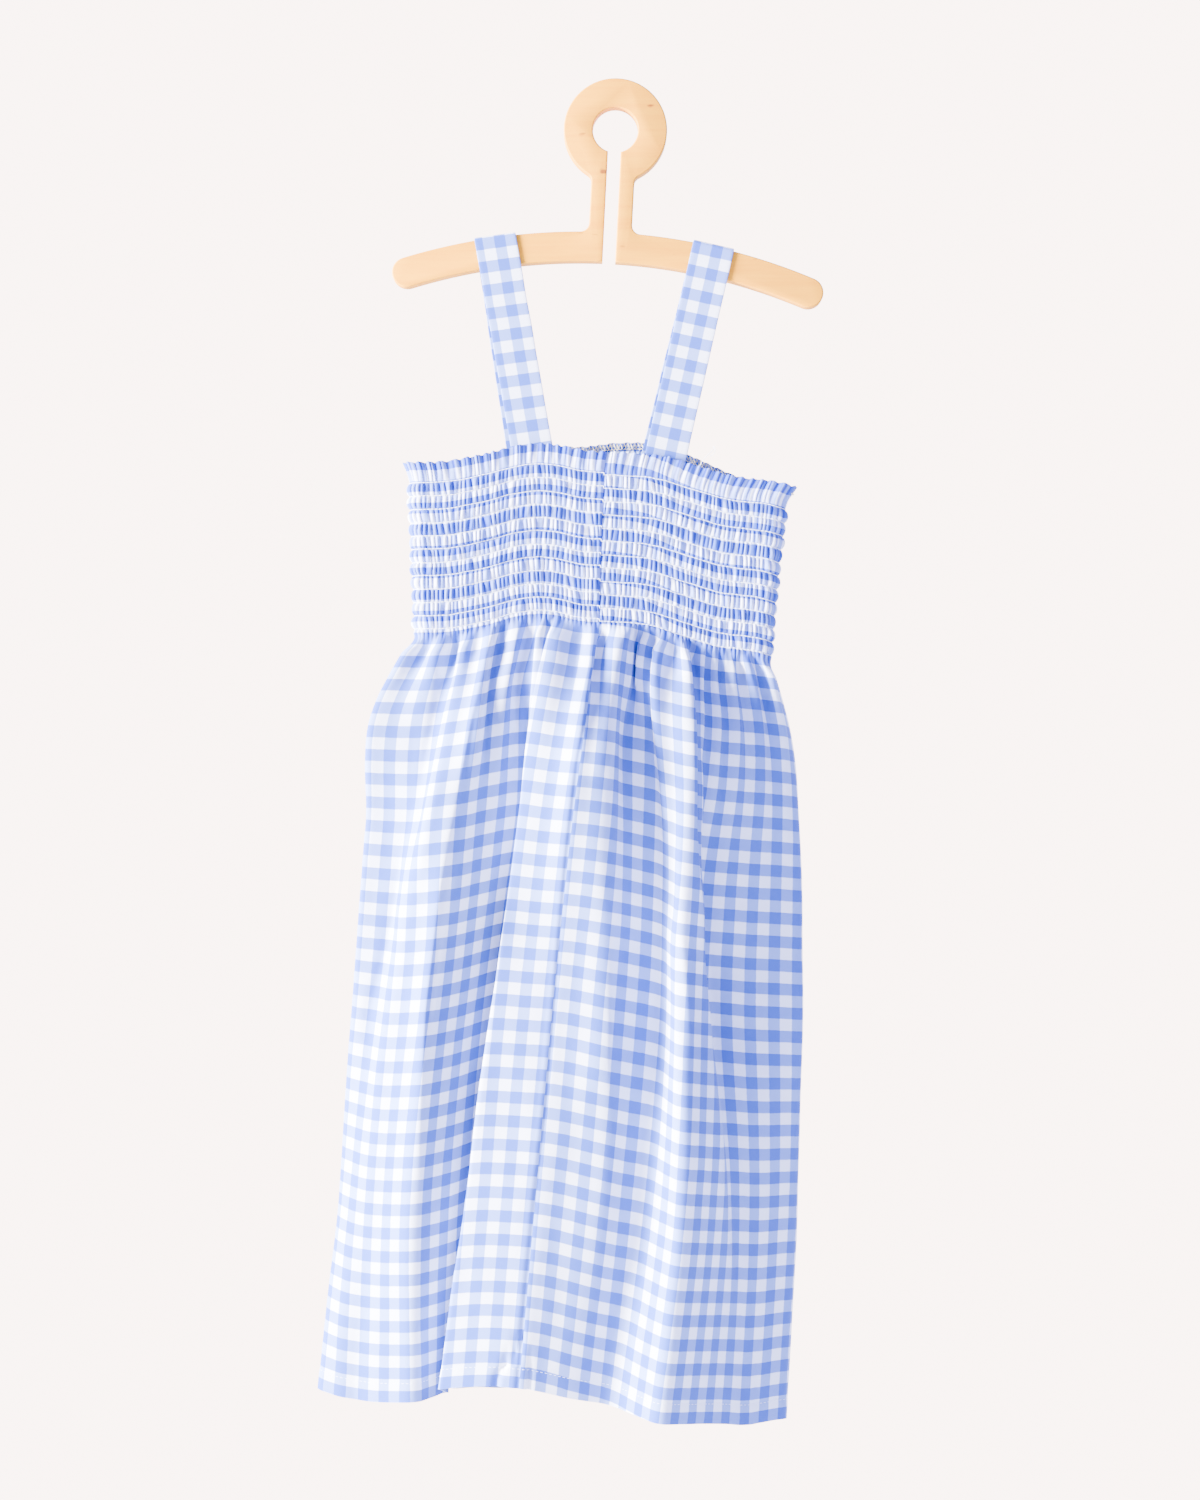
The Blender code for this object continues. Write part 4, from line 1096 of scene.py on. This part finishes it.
def seen_at(points):
    """Where the camera sees points: x and z on the plane of the hanger."""
    reach = -CAMERA_AT[1]
    scale = reach / (points[..., 1] + reach)
    x = CAMERA_AT[0] + (points[..., 0] - CAMERA_AT[0]) * scale
    z = CAMERA_AT[2] + (points[..., 2] - CAMERA_AT[2]) * scale
    return x, z


def crease_depth(creases, x, z):
    """How far the creases push each point away from the side that one looks from."""
    total = np.zeros_like(x)
    for crease in creases:
        path = np.array(crease.path, float)
        order = np.argsort(path[:, 1])
        line = np.interp(z, path[order, 1], path[order, 0])
        top, low = path[:, 1].max(), path[:, 1].min()
        within = smooth_step(2 * (top - z) / crease.fade + 1) * smooth_step(2 * (z - low) / crease.fade + 1)
        offset = x - line
        width = np.where(offset < 0, crease.left, crease.right)
        total += crease.depth * within * np.exp(-(offset / width) ** 2)
    return total


class Skirt:
    """The whole surface of the skirt: its solved sections, and what is laid on them."""

    def __init__(self):
        solved = [skirt_ring(level) for level in SOLVED_LEVELS]
        self.x = np.array([ring[0] for ring in solved])
        self.y = np.array([ring[1] for ring in solved])
        self.flat = np.linspace(0.0, CLOTH_ROUND, RING_SAMPLES + 1)
        nodes = level_nodes(1.0)
        self.hem_places = np.append(nodes[0], CLOTH_ROUND)
        self.hem_heights = np.append(nodes[3], nodes[3][0])
        self.drape_rows = noise_field(60, 400, 9, 26)
        self.small_rows = noise_field(120, 800, 22, 90)

    def rings(self, flat, levels):
        wrapped = flat % CLOTH_ROUND
        x = np.array([np.interp(wrapped, self.flat, row) for row in self.x])
        y = np.array([np.interp(wrapped, self.flat, row) for row in self.y])
        return eased(SOLVED_LEVELS, x, levels), eased(SOLVED_LEVELS, y, levels)

    def grid(self, flat, levels):
        """Outer points at places on the flat cloth (columns) and levels from the waist to the hem (rows), with
        painted shade in the puckers' hollows under the waist.
        """
        levels = np.asarray(levels, float)
        x, y = self.rings(flat, levels)
        wrapped = flat % CLOTH_ROUND
        turn = waist_turn(np.where(wrapped > BACK_STOP, wrapped - CLOTH_ROUND, wrapped))
        loop_x, loop_y, normal, share = loop_places(BODICE_LENGTH, turn)
        back = np.clip(loop_y / BODICE_HALF_DEPTH, 0.0, 1.0)
        top = top_edge(share, back) - BODICE_LENGTH - SEAT / 2
        hem = eased(self.hem_places, self.hem_heights, wrapped)
        hem = hem + BACK_HEM_LIFT * np.exp(-((wrapped - BACK_HEM_LIFT_AT) / BACK_HEM_LIFT_REACH) ** 2)
        z = top[None, :] + (hem - top)[None, :] * levels[:, None]
        down = (levels[:, None] * (top - hem)[None, :])

        opened = np.clip(down / GATHERED_IN, 0.0, 1.0)
        opened = opened * opened * (3 - 2 * opened)
        x = loop_x[None, :] * (1 - opened) + x * opened
        y = loop_y[None, :] * (1 - opened) + y * opened
        points = np.stack((x, y, z), axis=-1)

        reach_noise = np.interp(turn, round_turns, gather_sizes[4])
        reach = PUCKER_REACH * (0.4 + 1.6 * np.clip(reach_noise - 0.5, 0, 1.2) ** 2 * 2)
        ridge, hollow = gather_height(turn, SHIRRING_ROWS, 1.0)
        pucker = (0.25 + ridge * PUCKER_HEIGHT)[None, :] * np.exp(-down / reach[None, :])
        fine = grid_normals(points)
        fine[..., 2] = 0.0
        fine /= np.maximum(np.linalg.norm(fine, axis=-1), 1e-6)[..., None]
        start = np.concatenate((normal, np.zeros((len(normal), 1))), axis=1)[None, :, :]
        direction = fine * opened[..., None] + start * (1 - opened[..., None])
        points = points + direction * pucker[..., None]

        seen_x, seen_z = seen_at(points)
        facing = np.clip(-fine[..., 1] * 4 + 0.5, 0.0, 1.0)
        front_push = crease_depth(FRONT_CREASES, seen_x, seen_z) * facing
        back_push = crease_depth(BACK_CREASES, points[..., 0], points[..., 2]) * (1 - facing)
        side = ((wrapped < FRONT_STOP) | (wrapped > BACK_STOP))[None, :]
        kept = np.clip(down / 4.0, 0.0, 1.0)
        points[..., 1] += np.where(side, front_push, -back_push) * kept

        place = np.column_stack((wrapped / CLOTH_ROUND * 399, wrapped / CLOTH_ROUND * 799))
        broad = self.sampled(self.drape_rows, levels, place[:, 0])
        small = self.sampled(self.small_rows, levels, place[:, 1])
        relief = np.clip(down / 40.0, 0.0, 1.0)
        points += fine * (broad * 0.9 + small * 0.28)[..., None] * relief[..., None]

        # Painted shade: strongest in the puckers' hollows at the waist, fading down the skirt
        painted_shade_mask = hollow[None, :] ** 0.8 * np.exp(-down / (1.5 * np.maximum(reach, 1.0))[None, :])
        return points, down, painted_shade_mask

    def sampled(self, field, levels, across):
        rows = eased(np.linspace(0, 1, field.shape[0]), field, levels)
        index = np.clip(across, 0, field.shape[1] - 1.001)
        low = index.astype(int)
        t = index - low
        return rows[:, low] * (1 - t) + rows[:, low + 1] * t


def skirt_levels():
    """Levels of the mesh's rows: close below the waist and at the hem."""
    first = np.array((0.0, 0.7, 1.5, 2.5, 3.6, 4.8, 6.2, 7.8, 9.6, 11.6, 13.8, 16.2, 19.0)) / SKIRT_LENGTH
    hem = np.array((HEM_TURNED + 1.6, HEM_TURNED + 0.7, HEM_TURNED, HEM_TURNED - 0.8, 9.0, 4.0, 1.2, 0.0))
    last = 1.0 - hem / SKIRT_LENGTH
    between = np.linspace(first[-1], last[0], 68)
    between = first[-1] + (between - first[-1]) * (0.72 + 0.28 * (between - first[-1]) / (last[0] - first[-1]))
    return np.concatenate((first, between[1:-1], last))


def make_skirt(surface, material):
    levels = skirt_levels()
    start, end = -LEFT_TURN[0] / 2, FRONT_STOP
    pieces = []
    for name, first, last, count in (
            ("skirt_front_cloth", start, end, FRONT_COLUMNS),
            ("skirt_back_cloth", end, start + CLOTH_ROUND, BACK_COLUMNS)):
        flat = np.linspace(first, last, count)
        if name == "skirt_front_cloth":
            flat = split_at_seam(flat)
        points, down, painted_shade_mask = surface.grid(flat, levels)
        from_hem = down[-1][None, :] - down
        hem_step = smooth_step((HEM_TURNED - from_hem) / 0.6) * 0.35
        normal = grid_normals(points)
        stitched = np.exp(-((from_hem - HEM_TURNED + 0.6) / 0.9) ** 2) * 0.25
        outer = points + normal * (hem_step - stitched)[..., None]
        inner = points - normal * (SHELL + hem_step)[..., None]
        across = np.broadcast_to(warp_checks(flat), down.shape)
        shift = np.broadcast_to(check_shift(np.where(flat < 0, 0.0, flat)), down.shape)
        checks = np.stack((across, CHECKS_DOWN_SKIRT * levels[:, None] + shift), axis=-1)
        mesh = shell(name, outer, inner, checks, painted_shade_mask)
        piece = new_object(name, mesh, material)
        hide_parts(name.replace("_cloth", ""))
        pieces.append(piece)
    return pieces


def make_hem_thread(surface, material):
    """The line of stitches that holds the turned hem, as short dashes."""
    level = 1.0 - (HEM_TURNED - 0.4) / SKIRT_LENGTH
    flat = np.arange(-7.5, CLOTH_ROUND - 7.5, 0.55)
    points, _, _ = surface.grid(flat, np.array([level - 0.002, level, level + 0.002]))
    normal = grid_normals(points)[1]
    line = points[1] + normal * 0.12
    dashes = []
    per_dash = 5
    for start in range(0, len(flat) - per_dash, per_dash + 1):
        run = line[start:start + per_dash].copy()
        run[0] -= normal[start] * 0.3
        run[-1] -= normal[start + per_dash - 1] * 0.3
        dashes.append(tube(run, HEM_THREAD_RADIUS, sides=4))
    thread = thread_piece("hem_thread", dashes, material)
    return thread


# Straps

def strap_path(length, front_drift, back_drift):
    """Centre line of a strap as (sideways, depth, height) from the top of the arm, front leg first."""
    seat = SEAT + STRAP_WALL / 2
    out = HANGER_THICKNESS / 2 + seat
    sewn = BODICE_HALF_DEPTH - CLOTH_WALL - seat
    bend = STRAP_BEND + seat
    against = STRAP_AGAINST / length
    points = [
        (front_drift, -sewn, -length),
        (front_drift * STRAP_FREE, -sewn, -length * STRAP_FREE),
        (front_drift * against, -out, -STRAP_AGAINST),
    ]
    for step in range(STRAP_BEND_STEPS + 1):
        angle = math.pi - step * math.pi / 2 / STRAP_BEND_STEPS
        points.append((0.0, -out + bend + bend * math.cos(angle), seat - bend + bend * math.sin(angle)))
    for step in range(STRAP_BEND_STEPS + 1):
        angle = math.pi / 2 - step * math.pi / 2 / STRAP_BEND_STEPS
        points.append((0.0, out - bend + bend * math.cos(angle), seat - bend + bend * math.sin(angle)))
    points.append((back_drift * against, out, -STRAP_AGAINST))
    points.append((back_drift * STRAP_FREE, sewn, -length * STRAP_FREE))
    points.append((back_drift, sewn, -length))
    return np.array(points)


def strap_frames(strap, spacing):
    """Even places along a strap: run from its front top corner, point, sideways and outward directions."""
    path = strap_path(strap.length, strap.front_drift, strap.back_drift)
    runs = np.concatenate(([0.0], np.cumsum(np.linalg.norm(np.diff(path, axis=0), axis=1))))
    front_corner = runs[3]
    near_bend = np.arange(runs[3] - 3.0, runs[-4] + 3.0, 0.35)
    places = np.unique(np.concatenate((
        np.arange(0.0, runs[3] - 3.0, spacing), near_bend, np.arange(runs[-4] + 3.0, runs[-1],
                spacing), [runs[-1]])))
    points = np.column_stack([np.interp(places, runs, path[:, k]) for k in range(3)])
    ahead = np.gradient(points, places, axis=0)
    ahead /= np.linalg.norm(ahead, axis=1)[:, None]
    out = np.column_stack((np.zeros(len(places)), -ahead[:, 2], ahead[:, 1]))
    out /= np.linalg.norm(out, axis=1)[:, None]
    side = np.tile((1.0, 0.0, 0.0), (len(places), 1))
    lean = math.asin(strap.across / ARM_CURVE_RADIUS)
    arm_top = ARM_CURVE_RADIUS + ARM_HEIGHT / 2
    centre = arm_centre()
    crossing = Vector((arm_top * math.sin(lean), 0.0, centre[1] + arm_top * math.cos(lean)))
    turn = np.array(Matrix.Rotation(HANGER_TILT, 3, "Y"))
    square = np.array(Matrix.Rotation(lean, 3, "Y"))
    place = (np.array(crossing) + points @ square.T) @ turn.T
    return places - front_corner, place, side @ square.T @ turn.T, -(out @ square.T) @ turn.T


def strap_section():
    """Points round a folded strap: sideways, outward, and the check coordinate across, from its left edge."""
    half, thick = STRAP_WIDTH / 2, STRAP_WALL / 2
    across, out = [], []
    for x in np.linspace(-half + thick, half - thick, 36):
        share = (x + half) / STRAP_WIDTH
        fold = -0.3 * math.exp(-((share - STRAP_FOLD_AT) * STRAP_WIDTH / 0.6) ** 2)
        fold += 0.22 * smooth_step((share - STRAP_FOLD_AT) * STRAP_WIDTH / 0.7 - 0.6)
        stitch = -0.14 * math.exp(-((share - STRAP_STITCH_AT) * STRAP_WIDTH / 0.8) ** 2)
        across.append(x)
        out.append(thick - 0.1 + fold + stitch)
    for angle in np.linspace(math.pi / 2, -math.pi / 2, 7)[1:-1]:
        across.append(half - thick + thick * math.cos(angle))
        out.append(thick * math.sin(angle))
    for x in np.linspace(half - thick, -half + thick, 16):
        across.append(x)
        out.append(-thick)
    for angle in np.linspace(-math.pi / 2, -1.5 * math.pi, 7)[1:-1]:
        across.append(-half + thick + thick * math.cos(angle))
        out.append(thick * math.sin(angle))
    return np.array(across), np.array(out)


def make_strap(strap, material, thread):
    runs, place, side, out = strap_frames(strap, 2.2)
    across, rise = strap_section()
    waver = drift(len(runs), 24, closed=False) * 0.35
    cup = drift(len(runs), 10, closed=False) * 0.25
    free = np.clip(np.abs(runs - 6.0) / 30.0 - 0.6, 0.0, 1.0)
    shape = rise[None, :] + (cup * free)[:, None] * (1 - (2 * across[None, :] / STRAP_WIDTH) ** 2)
    sideways = across[None, :] * (1 + 0.01 * waver[:, None]) + waver[:, None] * free[:, None] * 0.6
    grid = place[:, None, :] + side[:, None, :] * sideways[..., None] + out[:, None, :] * shape[..., None]
    rows, count = grid.shape[:2]
    i, k = np.meshgrid(np.arange(rows - 1), np.arange(count), indexing="ij")
    n = (k + 1) % count
    faces = np.stack((i * count + k, (i + 1) * count + k, (i + 1) * count + n, i * count + n),
            axis=-1).reshape(-1, 4)
    u = (across + STRAP_WIDTH / 2 - STRAP_FIRST_CHECK) / STRAP_CHECK
    v = -(runs - 1.2) / CHECK_DOWN
    checks = np.stack(np.broadcast_arrays(u[None, :], v[:, None]), axis=-1).reshape(-1, 2)
    ends = []
    for row in (0, rows - 1):
        centre_line = [row * count + k for k in range(count)]
        ends.append(centre_line if row else centre_line[::-1])
    points = grid.reshape(-1, 3)
    first, last = points[:count].mean(axis=0), points[-count:].mean(axis=0)
    total = len(points)
    points = np.concatenate((points, [first, last]))
    checks = np.concatenate((checks, checks[:1], checks[-1:]))
    triangles = np.concatenate((faces[:, [0, 1, 2]], faces[:, [0, 2, 3]]))
    caps = [(total, line[k], line[(k + 1) % count]) for line in ends[:1] for k in range(count)]
    caps += [(total + 1, line[k], line[(k + 1) % count]) for line in ends[1:] for k in range(count)]
    triangles = np.concatenate((triangles, np.array(caps)))
    mesh = make_mesh(f"{strap.name}_band", points, triangles, checks[triangles].reshape(-1, 2),
            np.zeros(len(points)))
    band_piece = new_object(f"{strap.name}_band", mesh, material)
    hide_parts(strap.name)

    at = (STRAP_STITCH_AT - 0.5) * STRAP_WIDTH
    height = float(np.interp(at, across[:36], rise[:36])) + 0.06
    fine_runs, fine_place, fine_side, fine_out = strap_frames(strap, 0.5)
    line = fine_place + fine_side * at + fine_out * height
    shift = np.interp(fine_runs, runs, waver * free * 0.6)
    line = line + fine_side * shift[:, None] + fine_out * np.interp(fine_runs, runs, cup * free)[:, None]
    tubes = []
    for start in np.arange(fine_runs[0] + 1.0, fine_runs[-1] - 3.0, STITCH_PITCH):
        within = (fine_runs >= start) & (fine_runs <= start + STITCH_LENGTH)
        if within.sum() >= 3:
            run = line[within].copy()
            run[0] -= fine_out[within][0] * 0.25
            run[-1] -= fine_out[within][-1] * 0.25
            tubes.append(tube(run, STITCH_RADIUS, sides=5))
    stitches = thread_piece(f"{strap.name}_stitches", tubes, thread)
    return band_piece, stitches


def make_loose_threads(material):
    """Two loose ends of white thread by the right strap."""
    paths = (
        ((66.5, -234.0), (65.6, -236.0), (62.0, -239.5), (58.5, -243.5), (56.5, -247.5)),
        ((66.0, -233.0), (67.5, -235.5), (66.0, -238.5), (63.5, -240.0)),
    )
    tubes = []
    for path in paths:
        knots = np.array(path)
        t = np.linspace(0, len(knots) - 1, 26)
        curve = eased(np.arange(len(knots)), knots, t)
        depth = -10.5 - 1.5 * np.sin(np.linspace(0, math.pi, 26))
        tubes.append(tube(np.column_stack((curve[:, 0], depth, curve[:, 1])), LOOSE_THREAD_RADIUS, sides=5))
    loose = thread_piece("loose_threads", tubes, material)
    return loose


# Light, floor and camera

def add_area(name, place, target, size, power, colour):
    light = bpy.data.lights.new(name, "AREA")
    light.shape = "DISK"
    light.size = size
    light.energy = power
    light.color = colour
    thing = bpy.data.objects.new(name, light)
    bpy.context.scene.collection.objects.link(thing)
    thing.location = place
    thing.rotation_euler = (Vector(target) - Vector(place)).to_track_quat("-Z", "Y").to_euler()
    return thing


def make_stage():
    world = bpy.data.worlds.new("pale_room")
    bpy.context.scene.world = world
    world.use_nodes = True
    tree = world.node_tree
    around = tree.nodes["Background"]
    set_inputs(around, {"Color": (0.38, 0.44, 1.0, 1.0), "Strength": 1.25})
    seen = add_node(tree, "ShaderNodeBackground", {"Color": (1.0, 0.80, 0.74, 1.0), "Strength": 3.6})
    ray = add_node(tree, "ShaderNodeLightPath")
    choice = add_node(tree, "ShaderNodeMixShader")
    tree.links.new(ray.outputs["Is Camera Ray"], choice.inputs[0])
    tree.links.new(around.outputs[0], choice.inputs[1])
    tree.links.new(seen.outputs[0], choice.inputs[2])
    tree.links.new(choice.outputs[0], tree.nodes["World Output"].inputs["Surface"])
    add_area("window", (-2.75, -0.9, 0.05), (0.0, 0.0, -0.55), 1.1, 620.0, (0.96, 0.96, 1.0))
    add_area("rear_fill", (1.6, 2.4, 0.8), (0.0, 0.0, -0.4), 2.0, 60.0, (0.96, 0.97, 1.0))
    bpy.ops.mesh.primitive_circle_add(vertices=96, radius=2.0, fill_type="NGON", location=(0.0, 0.0, -1.6))
    floor = bpy.context.object
    floor.name = "floor"
    material, _, shader = nodes_of("pale_floor")
    set_inputs(shader, {"Base Color": (0.86, 0.85, 0.84, 1.0), "Roughness": 0.9})
    floor.data.materials.append(material)


def make_camera():
    data = bpy.data.cameras.new("camera")
    data.sensor_width = SENSOR
    data.lens = SENSOR * -CAMERA_AT[1] / VIEW_HEIGHT
    data.dof.use_dof = False
    data.clip_start = 0.05
    data.clip_end = 50.0
    camera = bpy.data.objects.new("camera", data)
    bpy.context.scene.collection.objects.link(camera)
    camera.location = tuple(c * MM for c in CAMERA_AT)
    camera.rotation_euler = (math.pi / 2, 0.0, 0.0)
    bpy.context.scene.camera = camera


def main():
    make_hanger(wood_material())
    # The skirt's and the bodice's cloth get painted shade in the hollows of their gathers; the straps' cloth
    # gets none
    skirt_cloth = gingham("skirt_gingham", painted_shade_strength=0.7)
    bodice_cloth = gingham("shirred_gingham", painted_shade_strength=0.9)
    strap_cloth = gingham("strap_gingham")
    white = thread_material("white_thread", WHITE_THREAD)
    cream = thread_material("cream_thread", CREAM_THREAD)

    surface = Skirt()
    front, back = make_skirt(surface, skirt_cloth)
    hem_thread = make_hem_thread(surface, white)
    bodice_front, bodice_back = make_bodice(bodice_cloth)
    threads, overlock = make_threads(white, cream)
    loose = make_loose_threads(white)
    for strap in STRAPS:
        band_piece, stitches = make_strap(strap, strap_cloth, white)
    make_stage()
    make_camera()
    look = bpy.context.scene.view_settings
    look.view_transform = "AgX"
    look.look = "AgX - Punchy"
    look.exposure = 2.0


main()
